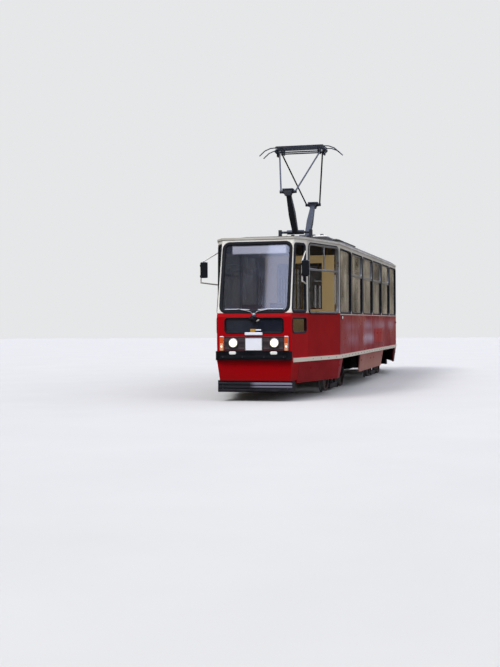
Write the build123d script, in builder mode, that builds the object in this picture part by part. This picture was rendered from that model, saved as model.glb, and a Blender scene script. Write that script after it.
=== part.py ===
from build123d import *
from math import asin, atan2, cos, degrees, radians, sin, tan
import os

os.makedirs("parts", exist_ok=True)

# A four-axle, one-directional high-floor tram car with a raised diamond pantograph.
# Millimetres. +X is forward, +Y is the car's left, +Z is up, and Z = 0 is at the
# tips of the wheel flanges. Heights are given above the rail head plus rail_head.

# Track and wheels
rail_head = 26.0
tread_radius = 327.0
flange_radius = tread_radius + rail_head
wheel_inner_face = 692.0
wheel_outer_face = 797.0
flange_thickness = 24.0
axle_radius = 65.0
bearing_gap = 1.0

# Body plan
half_length = 6750.0
half_width = 1200.0
end_half_width = 690.0
end_top_half_width = 668.0
cheek_length = 684.0
door_post = 131.0
wall = 50.0

# Body heights
skirt_bottom_z = rail_head + 295.0
sill_z = rail_head + 700.0
floor_z = rail_head + 890.0
waist_z = rail_head + 1575.0
glass_top_z = rail_head + 2835.0
eave_z = rail_head + 2900.0
eave_side = 40.0
eave_curve = 120.0
shoulder_rise = 112.0
crown_rise = 200.0
hip_side = 50.0
hip_slope = 0.20
brow_slope = 0.078

# Raked ends
rake_base_z = rail_head + 1500.0
rake_run = 340.0

# Side windows
pillar_pitch = 1580.0
pillar_width = 90.0
window_radius = 80.0
glass_thickness = 8.0

# Doors
leaf_width = 300.0
leaf_thickness = 30.0
leaf_recess = 10.0
post_gap = 6.0
fold_gap = 6.0
centre_gap = 20.0
shaft_radius = 9.0
knuckle_radius = 6.0
fold_pin_offset = 8.0
knuckle_length = 60.0
knuckle_gap = 0.3
guide_radius = 7.0
guide_rise = 24.0
guide_slot_width = 20.0
guide_slot_depth = 30.0

# Bars and tubes under 40 mm across are modelled with this many flats
bar_sides = 8
leaf_bottom_z = rail_head + 400.0
leaf_top_z = rail_head + 2560.0
leaf_to_lintel = 8.0
door_to_wheel = 61.0

# Steps inside each doorway
tread_sheet = 15.0
first_tread_z = rail_head + 385.0
second_tread_z = rail_head + 640.0
first_tread_depth = 360.0
second_tread_depth = 220.0
floor_sheet = 40.0

# Bogies
bogie_x = 3000.0
half_wheelbase = 950.0
bolster_top_z = rail_head + 700.0
pivot_gap = 0.3

# Pantograph
pantograph_x = 2440.0
base_rail_drop = 110.0
base_pivot_x = 640.0
base_pivot_z = rail_head + 3300.0
knee_x = 1340.0
knee_z = rail_head + 4080.0
head_pivot_x = 120.0
head_pivot_z = rail_head + 5080.0
head_arm_y = 450.0
knee_arm_y = 150.0
pin_gap = 0.5

# Values worked out from the sizes above
doorway_width = 4 * leaf_width + 2 * post_gap + 2 * fold_gap + centre_gap
doorway_top_z = leaf_top_z + leaf_to_lintel
inner_door_x = bogie_x - half_wheelbase - tread_radius - door_to_wheel - doorway_width / 2
quarter_length = doorway_width + 2 * door_post
taper = asin((half_width - end_half_width) / (quarter_length + cheek_length))
corner_pillar_x = half_length - cheek_length * cos(taper)
taper_start = corner_pillar_x - quarter_length * cos(taper)
rake = atan2(rake_run, eave_z - rake_base_z)
rake_top_x = half_length - rake_run
wheel_z = rail_head + tread_radius


def taper_y(x):
    """Half width of the outer skin at a distance x from the middle of the car."""
    return half_width - max(0.0, abs(x) - taper_start) * tan(taper)


def plan_face(inset=0.0):
    """The car's plan outline as a face, moved in by a wall thickness."""
    Polygon(
        (half_length, end_half_width),
        (taper_start, half_width),
        (-taper_start, half_width),
        (-half_length, end_half_width),
        (-half_length, -end_half_width),
        (-taper_start, -half_width),
        (taper_start, -half_width),
        (half_length, -end_half_width),
        align=None,
    )
    if inset:
        offset(amount=-inset, kind=Kind.INTERSECTION)


def eave_plan(inset=0.0):
    """The plan outline at the eaves, where the cheeks have twisted inwards."""
    quarter = [(rake_top_x, end_top_half_width), (corner_pillar_x, taper_y(corner_pillar_x)),
               (taper_start, half_width)]
    left = quarter + [(-x, y) for x, y in reversed(quarter)]
    Polygon(*left, *[(x, -y) for x, y in reversed(left)], align=None)
    if inset:
        offset(amount=-inset, kind=Kind.INTERSECTION)


def nose_half_width(x, z, inset):
    """Half width ahead of a corner pillar, where each cheek twists as it rises."""
    lean = (z - rake_base_z) / (eave_z - rake_base_z)
    front_x = half_length - lean * rake_run
    front_y = end_half_width + lean * (end_top_half_width - end_half_width)
    slope = (taper_y(corner_pillar_x) - front_y) / (front_x - corner_pillar_x)
    return front_y + (front_x - x) * slope - inset / cos(taper)


def nose_block(sign, inset, top_z):
    """Solid nose over the rake's foot: twisted cheeks between pillar and raked end."""
    rake_x = half_length - inset / cos(rake) - (top_z - rake_base_z) * tan(rake)
    sections = []
    for low_x, high_x in ((corner_pillar_x, corner_pillar_x), (half_length - inset, rake_x)):
        low_y = nose_half_width(low_x, rake_base_z, inset)
        high_y = nose_half_width(high_x, top_z, inset)
        sections.append(Wire.make_polygon([
            (sign * low_x, -low_y, rake_base_z), (sign * low_x, low_y, rake_base_z),
            (sign * high_x, high_y, top_z), (sign * high_x, -high_y, top_z)]))
    return Solid.make_loft(sections, True)


def body_form(inset, bottom_z, top_z):
    """Solid inside the skin, moved in by a wall thickness, between two heights."""
    with BuildSketch(Plane.XY.offset(bottom_z)) as lower:
        plan_face(inset)
    extrude(lower.sketch, amount=rake_base_z - bottom_z)
    with BuildSketch(Plane.XY.offset(rake_base_z)) as upper:
        plan_face(inset)
        Rectangle(2 * corner_pillar_x, 4 * half_width, mode=Mode.INTERSECT)
    extrude(upper.sketch, amount=top_z - rake_base_z)
    for sign in (-1, 1):
        add(nose_block(sign, inset, top_z))


def wall_plane(x, y, facing):
    """Upright plane on the skin at (x, y) that looks out in direction facing (degrees)."""
    nx, ny = cos(radians(facing)), sin(radians(facing))
    return Plane(origin=(x, y, 0), x_dir=(-ny, nx, 0), z_dir=(nx, ny, 0))


def save(block, label):
    """Label a finished piece and write it."""
    block.part.label = label
    export_step(block.part, f"parts/{label}.step")


# Outer and inner form of the body, from sill to eaves
with BuildPart() as outer_form:
    body_form(0.0, sill_z, eave_z)

with BuildPart() as inner_form:
    body_form(wall, sill_z - wall, eave_z + wall)


def shell_between(x_low, x_high, side):
    """Body shell between two x positions: side is 1 left, -1 right, 0 both."""
    add(outer_form.part)
    add(inner_form.part, mode=Mode.SUBTRACT)
    depth = 2 * (half_width + wall) if side == 0 else half_width + wall
    middle_y = side * depth / 2
    with Locations(((x_low + x_high) / 2, middle_y, (sill_z + eave_z) / 2)):
        Box(x_high - x_low, depth, eave_z - sill_z + 2 * wall, mode=Mode.INTERSECT)


# Faces of the body that carry windows and doors
left_face = wall_plane(0, half_width, 90)
right_face = wall_plane(0, -half_width, -90)
quarter_x = (taper_start + corner_pillar_x) / 2
cheek_x = (corner_pillar_x + half_length) / 2
taper_deg = degrees(taper)
quarter_faces = {
    "left_front": wall_plane(quarter_x, taper_y(quarter_x), 90 - taper_deg),
    "left_rear": wall_plane(-quarter_x, taper_y(quarter_x), 90 + taper_deg),
    "right_front": wall_plane(quarter_x, -taper_y(quarter_x), -90 + taper_deg),
    "right_rear": wall_plane(-quarter_x, -taper_y(quarter_x), -90 - taper_deg),
}
cheek_faces = {
    "left_front": wall_plane(cheek_x, taper_y(cheek_x), 90 - taper_deg),
    "left_rear": wall_plane(-cheek_x, taper_y(cheek_x), 90 + taper_deg),
    "right_front": wall_plane(cheek_x, -taper_y(cheek_x), -90 + taper_deg),
    "right_rear": wall_plane(-cheek_x, -taper_y(cheek_x), -90 - taper_deg),
}

# Side windows, each as (middle along the car, width)
window_height = glass_top_z - waist_z
window_z = (glass_top_z + waist_z) / 2
end_bay = taper_start - 2 * pillar_pitch
left_windows = [
    (-(taper_start + 2 * pillar_pitch) / 2, end_bay - pillar_width),
    (-1.5 * pillar_pitch, pillar_pitch - pillar_width),
    (-0.5 * pillar_pitch, pillar_pitch - pillar_width),
    (0.5 * pillar_pitch, pillar_pitch - pillar_width),
    (1.5 * pillar_pitch, pillar_pitch - pillar_width),
    ((taper_start + 2 * pillar_pitch) / 2, end_bay - pillar_width),
]
door_edge = inner_door_x + doorway_width / 2
door_inner_edge = inner_door_x - doorway_width / 2
right_bay = (taper_start - door_edge) / 2
right_windows = [
    (-(door_edge + 1.5 * right_bay), right_bay - pillar_width),
    (-(door_edge + 0.5 * right_bay), right_bay - pillar_width),
    (0.0, 2 * door_inner_edge - pillar_width),
    (door_edge + 0.5 * right_bay, right_bay - pillar_width),
    (door_edge + 1.5 * right_bay, right_bay - pillar_width),
]
quarter_window = quarter_length - 1.7 * pillar_width


def cut_windows(face, windows, flip):
    """Cut rounded window openings through the wall behind a face."""
    with BuildSketch(face.offset(wall)) as openings:
        for middle, width in windows:
            with Locations((flip * middle, window_z)):
                RectangleRounded(width, window_height, window_radius)
    extrude(openings.sketch, amount=-3 * wall, mode=Mode.SUBTRACT)


def cut_doorway(face, middle):
    """Cut one doorway down through the sill."""
    height = doorway_top_z - sill_z + wall
    with BuildSketch(face.offset(wall)) as doorway:
        with Locations((middle, doorway_top_z - height / 2)):
            Rectangle(doorway_width, height)
    extrude(doorway.sketch, amount=-3 * wall, mode=Mode.SUBTRACT)
    guide_plane = face.offset(-leaf_recess - leaf_thickness + guide_slot_width / 2)
    with BuildSketch(guide_plane) as slot:
        with Locations((middle, doorway_top_z)):
            Rectangle(doorway_width - 2 * shaft_radius, 2 * guide_slot_depth)
    extrude(slot.sketch, amount=-2 * guide_slot_width, mode=Mode.SUBTRACT)


# Left side wall with its six window openings
with BuildPart() as left_side_wall:
    shell_between(-taper_start, taper_start, 1)
    cut_windows(left_face, left_windows, -1)
save(left_side_wall, "left_side_wall")

# Left quarter panels, beside the cab and at the rear
with BuildPart() as left_quarter_panels:
    shell_between(-corner_pillar_x, corner_pillar_x, 1)
    with Locations((0, half_width, (sill_z + eave_z) / 2)):
        Box(2 * taper_start, 2 * half_width, 2 * (eave_z - sill_z), mode=Mode.SUBTRACT)
    for key in ("left_front", "left_rear"):
        cut_windows(quarter_faces[key], [(0, quarter_window)], 1)
save(left_quarter_panels, "left_quarter_panels")

# Right side wall with the two middle doorways
with BuildPart() as right_side_wall:
    shell_between(-taper_start, taper_start, -1)
    cut_windows(right_face, right_windows, 1)
    for middle in (-inner_door_x, inner_door_x):
        cut_doorway(right_face, middle)
save(right_side_wall, "right_side_wall")

# Frames of the front and rear doorways, in the right quarters
with BuildPart() as end_door_frames:
    shell_between(-corner_pillar_x, corner_pillar_x, -1)
    with Locations((0, -half_width, (sill_z + eave_z) / 2)):
        Box(2 * taper_start, 2 * half_width, 2 * (eave_z - sill_z), mode=Mode.SUBTRACT)
    for key in ("right_front", "right_rear"):
        cut_doorway(quarter_faces[key], 0)
save(end_door_frames, "end_door_frames")

# Front and rear ends: end window, lower window and corner windows
end_window_width = 1262.0
end_window_bottom_z = rail_head + 1588.0
end_window_top_z = rail_head + 2848.0
end_window_radius = 110.0
lower_window_width = 1080.0
lower_window_bottom_z = rail_head + 1210.0
lower_window_top_z = rail_head + 1476.0
lower_window_radius = 55.0
corner_window_rear = 60.0
corner_window_front = 60.0
corner_lower_width = 585.0
twist_reach = 250.0


def end_window_outline():
    """The end window's opening seen from the front."""
    with Locations((0, (end_window_top_z + end_window_bottom_z) / 2)):
        RectangleRounded(end_window_width, end_window_top_z - end_window_bottom_z,
                         end_window_radius)


def lower_window_outline(width):
    """The opening of a low window of the given width."""
    with Locations((0, (lower_window_top_z + lower_window_bottom_z) / 2)):
        RectangleRounded(width, lower_window_top_z - lower_window_bottom_z, lower_window_radius)



def corner_window_outline(forward):
    """Corner window with its front edge raked like the end; forward is 1 or -1."""
    rear = forward * (-cheek_length / 2 + corner_window_rear)
    foot = forward * (cheek_length / 2 - corner_window_front)
    run = (glass_top_z - waist_z) * tan(rake)
    Polygon((rear, waist_z), (foot, waist_z), (foot - forward * run, glass_top_z),
            (rear, glass_top_z), align=None)


def forward_sign(key):
    """Local direction along a wall plane that leads to the nearer end of the car."""
    return -1 if key in ("left_front", "right_rear") else 1


def make_end(x_sign):
    """One end of the body between its corner pillars, with all its windows."""
    low, high = sorted((x_sign * corner_pillar_x, x_sign * (half_length + wall)))
    shell_between(low, high, 0)
    with BuildSketch(Plane.YZ.offset(x_sign * corner_pillar_x)) as end_openings:
        end_window_outline()
        lower_window_outline(lower_window_width)
    extrude(end_openings.sketch, amount=x_sign * (half_length - corner_pillar_x + wall),
            mode=Mode.SUBTRACT)
    keys = ("left_front", "right_front") if x_sign > 0 else ("left_rear", "right_rear")
    for key in keys:
        with BuildSketch(cheek_faces[key].offset(wall)) as corner_openings:
            corner_window_outline(forward_sign(key))
            lower_window_outline(corner_lower_width)
        extrude(corner_openings.sketch, amount=-twist_reach, mode=Mode.SUBTRACT)


with BuildPart() as front_end:
    make_end(1)
save(front_end, "front_end")

with BuildPart() as rear_end:
    make_end(-1)
save(rear_end, "rear_end")

# Roof shell. One arch runs along the car over rounded shoulders, flat hips slope in from
# the tapered quarters and cheeks, and a brow slopes down to each end.
gutter_depth = 14.0
gutter_height = 36.0
gutter_rise = 12.0
roof_base_z = eave_z - 2 * wall
cheek_top = degrees(atan2(taper_y(corner_pillar_x) - end_top_half_width, rake_top_x - corner_pillar_x))
hip_faces = list(quarter_faces.values()) + [
    wall_plane(x_sign * rake_top_x, y_sign * end_top_half_width, y_sign * (90 - x_sign * cheek_top))
    for x_sign in (-1, 1) for y_sign in (-1, 1)]


def eaves_curve(edge):
    """Lines up a side and round the eaves; edge is the side's place in the sketch."""
    inward = -1 if edge > 0 else 1
    bend = (edge + inward * 0.22 * eave_curve, eave_z + eave_side + 0.62 * (shoulder_rise - eave_side))
    Line((edge, roof_base_z), (edge, eave_z + eave_side))
    ThreePointArc((edge, eave_z + eave_side), bend, (edge + inward * eave_curve, eave_z + shoulder_rise))


def roof_block(inset):
    """Solid under the roof's skin, moved in by a sheet thickness."""
    with BuildSketch(Plane.XY.offset(roof_base_z)) as plan:
        eave_plan(inset)
    extrude(plan.sketch, amount=crown_rise + 3 * wall)
    with BuildSketch(Plane.YZ) as arch:
        with BuildLine():
            eaves_curve(half_width)
            eaves_curve(-half_width)
            ThreePointArc((half_width - eave_curve, eave_z + shoulder_rise), (0, eave_z + crown_rise),
                          (eave_curve - half_width, eave_z + shoulder_rise))
            Line((-half_width, roof_base_z), (half_width, roof_base_z))
        make_face()
        offset(amount=-inset, kind=Kind.INTERSECTION)
    extrude(arch.sketch, amount=half_length, both=True, mode=Mode.INTERSECT)
    span = 2 * half_length
    for face in hip_faces:
        hip_plane = Plane(origin=face.origin, x_dir=face.z_dir, z_dir=face.z_dir.cross(Vector(0, 0, 1)))
        with BuildSketch(hip_plane) as hip:
            Polygon((wall, roof_base_z), (wall, eave_z + hip_side - wall * hip_slope),
                    (-span, eave_z + hip_side + span * hip_slope), (-span, roof_base_z), align=None)
            offset(amount=-inset, kind=Kind.INTERSECTION)
        extrude(hip.sketch, amount=span, both=True, mode=Mode.INTERSECT)
    brow_foot_z = eave_z + hip_side - rake_run * brow_slope
    brow_top_z = eave_z + crown_rise + wall
    brow_top_x = half_length - (brow_top_z - brow_foot_z) / brow_slope
    with BuildSketch(Plane.XZ) as brow:
        Polygon((half_length, roof_base_z), (half_length, brow_foot_z), (brow_top_x, brow_top_z),
                (-brow_top_x, brow_top_z), (-half_length, brow_foot_z), (-half_length, roof_base_z),
                align=None)
        offset(amount=-inset, kind=Kind.INTERSECTION)
    extrude(brow.sketch, amount=half_width + wall, both=True, mode=Mode.INTERSECT)


def above_eaves():
    """Keep only what lies above the eaves."""
    with Locations((0, 0, eave_z - wall)):
        Box(3 * half_length, 3 * half_width, 2 * wall, mode=Mode.SUBTRACT)


with BuildPart() as roof_form:
    roof_block(0.0)
    above_eaves()

with BuildPart() as roof_cavity:
    roof_block(wall)

with BuildPart() as roof:
    add(roof_form.part)
    add(roof_cavity.part, mode=Mode.SUBTRACT)
    with BuildSketch(Plane.XY.offset(eave_z + gutter_rise)):
        eave_plan(-gutter_depth)
        offset(amount=-2 * gutter_depth, kind=Kind.INTERSECTION, mode=Mode.SUBTRACT)
    extrude(amount=gutter_height)
save(roof, "roof")

# Floor plate with a well at each doorway and a raised strip along the aisle
partition_x = taper_start + 80.0
aisle_front_x = partition_x - 50.0
aisle_rear_x = 600.0 - half_length
aisle_half = 420.0
aisle_rise = 4.0
well_depth = first_tread_depth + second_tread_depth
door_faces = {
    "front_door": (quarter_faces["right_front"], 0.0),
    "second_door": (right_face, inner_door_x),
    "third_door": (right_face, -inner_door_x),
    "rear_door": (quarter_faces["right_rear"], 0.0),
}


def cut_wells(extra, bottom_z, top_z):
    """Cut the four step wells out of a level plate; extra widens each well."""
    for face, middle in door_faces.values():
        depth = well_depth + extra + wall
        with BuildSketch(face.offset(wall)) as well:
            with Locations((middle, (bottom_z + top_z) / 2)):
                Rectangle(doorway_width + 2 * extra, top_z - bottom_z)
        extrude(well.sketch, amount=-depth - leaf_recess, mode=Mode.SUBTRACT)


with BuildPart() as floor:
    with BuildSketch(Plane.XY.offset(floor_z - floor_sheet)):
        plan_face(wall)
    extrude(amount=floor_sheet)
    cut_wells(tread_sheet, floor_z - 2 * floor_sheet, floor_z + floor_sheet)
    with BuildSketch(Plane.XY.offset(floor_z)):
        with Locations(((aisle_front_x + aisle_rear_x) / 2, 0)):
            Rectangle(aisle_front_x - aisle_rear_x, 2 * aisle_half)
    extrude(amount=aisle_rise)
save(floor, "floor")

# Step wells: two treads, risers and cheeks of folded sheet
with BuildPart() as door_steps:
    for face, middle in door_faces.values():
        profile_plane = Plane(
            origin=face.from_local_coords((middle, 0, 0)),
            x_dir=-face.z_dir,
            z_dir=face.x_dir,
        )
        up = 1 if profile_plane.y_dir.Z > 0 else -1
        first_riser = leaf_recess + first_tread_depth
        second_riser = leaf_recess + well_depth
        with BuildSketch(profile_plane):
            with BuildLine():
                Polyline(
                    (leaf_recess, up * first_tread_z),
                    (first_riser, up * first_tread_z),
                    (first_riser, up * second_tread_z),
                    (second_riser, up * second_tread_z),
                    (second_riser, up * floor_z),
                    (second_riser + tread_sheet, up * floor_z),
                    (second_riser + tread_sheet, up * (second_tread_z - tread_sheet)),
                    (first_riser + tread_sheet, up * (second_tread_z - tread_sheet)),
                    (first_riser + tread_sheet, up * (first_tread_z - tread_sheet)),
                    (leaf_recess, up * (first_tread_z - tread_sheet)),
                    close=True,
                )
            make_face()
        extrude(amount=doorway_width / 2, both=True)
        for end in (-1, 1):
            cheek_plane = profile_plane.offset(end * (doorway_width / 2 + tread_sheet / 2))
            with BuildSketch(cheek_plane):
                with BuildLine():
                    Polyline(
                        (wall, up * (first_tread_z - tread_sheet)),
                        (first_riser + tread_sheet, up * (first_tread_z - tread_sheet)),
                        (second_riser + tread_sheet, up * (second_tread_z - tread_sheet)),
                        (second_riser + tread_sheet, up * floor_z),
                        (wall, up * floor_z),
                        close=True,
                    )
                make_face()
            extrude(amount=tread_sheet / 2, both=True)
save(door_steps, "door_steps")

# Underframe: sole bars and end beams along the car's edge, with four jacking pads
sole_width = 90.0
sole_bottom_z = rail_head + 730.0
sole_height = floor_z - floor_sheet - sole_bottom_z
pad_x = taper_start - 320.0
pad_length = 160.0
pad_drop = 16.0
with BuildSketch() as inside_soles:
    plan_face(wall + sole_width)
with BuildPart() as underframe:
    with BuildSketch(Plane.XY.offset(sole_bottom_z)):
        plan_face(wall)
        add(inside_soles.sketch, mode=Mode.SUBTRACT)
    extrude(amount=sole_height)
    cut_wells(tread_sheet, skirt_bottom_z, floor_z)
    pad_y = half_width - wall - sole_width / 2
    with BuildSketch(Plane.XY.offset(sole_bottom_z)):
        with GridLocations(2 * pad_x, 2 * pad_y, 2, 2):
            Rectangle(pad_length, sole_width)
    extrude(amount=-pad_drop)
save(underframe, "underframe")

# Cross members and bolsters between the sole bars; each bolster carries a centre pin
cross_member_xs = [door_inner_edge - 118.0, bogie_x - 900.0, bogie_x + 900.0,
                   taper_start - 140.0, half_length - 650.0]
cross_member_width = 80.0
bolster_length = 420.0
bolster_pad_radius = 200.0
centre_pin_radius = 60.0
centre_pin_length = 90.0
pivot_z = bolster_top_z + pivot_gap
with BuildPart() as cross_members:
    with BuildSketch(Plane.XY.offset(sole_bottom_z)):
        for sign in (-1, 1):
            with Locations([(sign * x, 0) for x in cross_member_xs]):
                Rectangle(cross_member_width, 2 * half_width)
            with Locations((sign * bogie_x, 0)):
                Rectangle(bolster_length, 2 * half_width)
        add(inside_soles.sketch, mode=Mode.INTERSECT)
    extrude(amount=sole_height)
    with Locations((-bogie_x, 0, 0), (bogie_x, 0, 0)):
        with Locations((0, 0, (pivot_z + sole_bottom_z) / 2)):
            Cylinder(bolster_pad_radius, sole_bottom_z - pivot_z)
        with Locations((0, 0, pivot_z - centre_pin_length / 2)):
            Cylinder(centre_pin_radius, centre_pin_length)
save(cross_members, "cross_members")

# Underfloor equipment boxes between the bogies
box_bottom_z = rail_head + 330.0
box_length = 900.0
box_width = 700.0
box_x = 620.0
box_y = 480.0
with BuildPart() as equipment_boxes:
    with Locations((-box_x, box_y, (sole_bottom_z + box_bottom_z) / 2),
                   (box_x, box_y, (sole_bottom_z + box_bottom_z) / 2)):
        Box(box_length, box_width, sole_bottom_z - box_bottom_z)
save(equipment_boxes, "equipment_boxes")

# Skirts: one tucked-in shell round the car, cut into panels beside the bogies and doors
skirt_tuck = 55.0
skirt_sheet = 25.0
skirt_top_z = sill_z
opening_to_end = 1240.0
opening_to_middle = 1060.0
opening_flare = 130.0
skirt_split = 6.0
short_panel_x = taper_start + 20.0
post_cover = 40.0
with BuildPart() as skirt_shell:
    for inset, mode in ((0.0, Mode.ADD), (skirt_sheet, Mode.SUBTRACT)):
        with BuildSketch(Plane.XY.offset(skirt_top_z)):
            plan_face(inset)
        with BuildSketch(Plane.XY.offset(skirt_bottom_z)):
            plan_face(skirt_tuck + inset)
        loft(ruled=True, mode=mode)

# Panels in side view as (rear edge, front edge, rear flare, front flare)
opening_front = bogie_x + opening_to_end
opening_rear = bogie_x - opening_to_middle
front_skirt_end = half_length - 330.0
left_panels = [
    (-front_skirt_end, -opening_front, 0.0, opening_flare),
    (-opening_rear, -skirt_split / 2, opening_flare, 0.0),
    (skirt_split / 2, opening_rear, 0.0, opening_flare),
    (opening_front, front_skirt_end, opening_flare, 0.0),
]
end_post_x = quarter_x + (doorway_width / 2) * cos(taper) + post_cover
right_panels = [
    (-front_skirt_end, -end_post_x, 0.0, 0.0),
    (-short_panel_x, -opening_front, 0.0, opening_flare),
    (-opening_rear, -door_edge - tread_sheet, opening_flare, 0.0),
    (-door_inner_edge + tread_sheet, door_inner_edge - tread_sheet, 0.0, 0.0),
    (door_edge + tread_sheet, opening_rear, 0.0, opening_flare),
    (opening_front, short_panel_x, opening_flare, 0.0),
    (end_post_x, front_skirt_end, 0.0, 0.0),
]


def flare_shift(x, flare):
    """A flared edge moves away from its bogie's centre towards the skirt's foot."""
    centre = bogie_x if x > 0 else -bogie_x
    return flare if x > centre else -flare


def panel_outlines(panels):
    """Side view of the stated skirt panels; a flare slants the edge beside a bogie."""
    for rear, front, rear_flare, front_flare in panels:
        Polygon((rear, skirt_top_z), (front, skirt_top_z),
                (front + flare_shift(front, front_flare), skirt_bottom_z),
                (rear + flare_shift(rear, rear_flare), skirt_bottom_z), align=None)


with BuildPart() as panel_regions:
    for panels, sideways in ((left_panels, -1), (right_panels, 1)):
        with BuildSketch(Plane.XZ):
            panel_outlines(panels)
        extrude(amount=sideways * (half_width + wall))
with BuildPart() as skirts:
    add(skirt_shell.part)
    add(panel_regions.part, mode=Mode.INTERSECT)
save(skirts, "skirts")

# Rub strips along both sides at the sill
strip_depth = 14.0
strip_height = 75.0
strip_z = rail_head + 718.0
strip_end = 60.0
with BuildPart() as rub_strips:
    with BuildSketch(Plane.XY.offset(strip_z - strip_height / 2)):
        plan_face(-strip_depth)
        offset(amount=-strip_depth, kind=Kind.INTERSECTION, mode=Mode.SUBTRACT)
        Rectangle(2 * (half_length - strip_end), 4 * half_width, mode=Mode.INTERSECT)
    extrude(amount=strip_height)
    cut_wells(tread_sheet, strip_z - strip_height, strip_z + strip_height)
save(rub_strips, "rub_strips")

# End aprons: the skirt's shell goes on round both ends, with a hole for the rear coupling
apron_bottom_z = rail_head + 350.0
apron_gap = 8.0
coupler_z = rail_head + 560.0
coupler_hole_width = 320.0
coupler_hole_height = 170.0
apron_length = half_length - front_skirt_end - apron_gap
with BuildPart() as end_aprons:
    add(skirt_shell.part)
    with BuildPart(mode=Mode.INTERSECT):
        with GridLocations(2 * half_length - apron_length, 1, 2, 1):
            with Locations((0, 0, (skirt_top_z + apron_bottom_z) / 2)):
                Box(apron_length, 2 * half_width, skirt_top_z - apron_bottom_z)
    with Locations((-half_length, 0, coupler_z)):
        Box(apron_length, coupler_hole_width, coupler_hole_height, mode=Mode.SUBTRACT)
save(end_aprons, "end_aprons")

# Lifeguards: open-backed guards close over the rails under the aprons
lifeguard_front_x = half_length - skirt_tuck + 5.0
lifeguard_half = end_half_width
lifeguard_side = 260.0
lifeguard_sheet = 40.0
lifeguard_bottom_z = rail_head + 140.0
with BuildPart() as lifeguards:
    for sign in (-1, 1):
        middle_x = sign * (lifeguard_front_x - lifeguard_side / 2)
        with BuildSketch(Plane.XY.offset(lifeguard_bottom_z)):
            with Locations((middle_x, 0)):
                Rectangle(lifeguard_side, 2 * lifeguard_half)
            with Locations((middle_x - sign * lifeguard_sheet, 0)):
                Rectangle(lifeguard_side, 2 * (lifeguard_half - lifeguard_sheet),
                          mode=Mode.SUBTRACT)
        extrude(amount=apron_bottom_z - lifeguard_bottom_z)
save(lifeguards, "lifeguards")

# Bumpers
bumper_depth = 70.0
bumper_bottom_z = rail_head + 720.0
bumper_height = 160.0
bumper_half = end_half_width + 15.0
bumper_edge = 30.0
bumper_bevel = 80.0
with BuildPart() as bumpers:
    for sign in (-1, 1):
        with BuildSketch(Plane.XY.offset(bumper_bottom_z)):
            with BuildLine():
                Polyline((sign * half_length, -bumper_half), (sign * half_length, bumper_half),
                         (sign * (half_length + bumper_edge), bumper_half),
                         (sign * (half_length + bumper_depth), bumper_half - bumper_bevel),
                         (sign * (half_length + bumper_depth), -bumper_half + bumper_bevel),
                         (sign * (half_length + bumper_edge), -bumper_half), close=True)
            make_face()
        extrude(amount=bumper_height)
save(bumpers, "bumpers")

# Ribbed lamp panel on the front
panel_half = end_half_width - 145.0
panel_bottom_z = rail_head + 890.0
panel_top_z = rail_head + 1146.0
rib_count = 12
panel_sheet = 8.0
rib_depth = 8.0
headlamp_y = 380.0
headlamp_z = rail_head + 1030.0
headlamp_radius = 85.0
with BuildPart() as lamp_panel:
    rib_pitch = (panel_top_z - panel_bottom_z) / rib_count
    with BuildSketch(Plane.XZ):
        with Locations((half_length + panel_sheet / 2, (panel_bottom_z + panel_top_z) / 2)):
            Rectangle(panel_sheet, panel_top_z - panel_bottom_z)
        for rib in range(rib_count):
            with Locations((half_length + panel_sheet + rib_depth / 2,
                            panel_bottom_z + (rib + 0.5) * rib_pitch)):
                Rectangle(rib_depth, rib_pitch * 0.5)
    extrude(amount=panel_half, both=True)
    with BuildSketch(Plane.YZ.offset(half_length)):
        with Locations((-headlamp_y, headlamp_z), (headlamp_y, headlamp_z)):
            Circle(headlamp_radius)
    extrude(amount=2 * (panel_sheet + rib_depth), mode=Mode.SUBTRACT)
save(lamp_panel, "lamp_panel")

# Headlamps: a flat lens set back in a rim, turned about the lamp's axis
rim_depth = 38.0
rim_width = 13.0
lens_depth = 30.0
with BuildPart() as headlamps:
    for y in (-headlamp_y, headlamp_y):
        lamp_plane = Plane(origin=(half_length, y, headlamp_z), x_dir=(1, 0, 0), z_dir=(0, -1, 0))
        with BuildSketch(lamp_plane):
            with BuildLine():
                Polyline((0, 0), (lens_depth, 0), (lens_depth, headlamp_radius - rim_width),
                         (rim_depth, headlamp_radius - rim_width), (rim_depth, headlamp_radius),
                         (0, headlamp_radius), close=True)
            make_face()
        revolve(axis=Axis((half_length, y, headlamp_z), (1, 0, 0)))
save(headlamps, "headlamps")

# Indicators beside the lamp panel at the front, and the lamps at the rear
indicator_height = 250.0
indicator_width = 72.0
indicator_y = end_half_width - 92.0
rear_lamp_width = 110.0
rear_lamp_y = end_half_width - 170.0
signal_depth = 22.0
signal_z = rail_head + 1020.0
with BuildPart() as signal_lamps:
    for x_sign, y, width in ((1, indicator_y, indicator_width), (-1, rear_lamp_y, rear_lamp_width)):
        with BuildSketch(Plane.YZ.offset(x_sign * half_length)):
            with Locations((-y, signal_z), (y, signal_z)):
                Rectangle(width, indicator_height)
        extrude(amount=x_sign * signal_depth)
save(signal_lamps, "signal_lamps")

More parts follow.
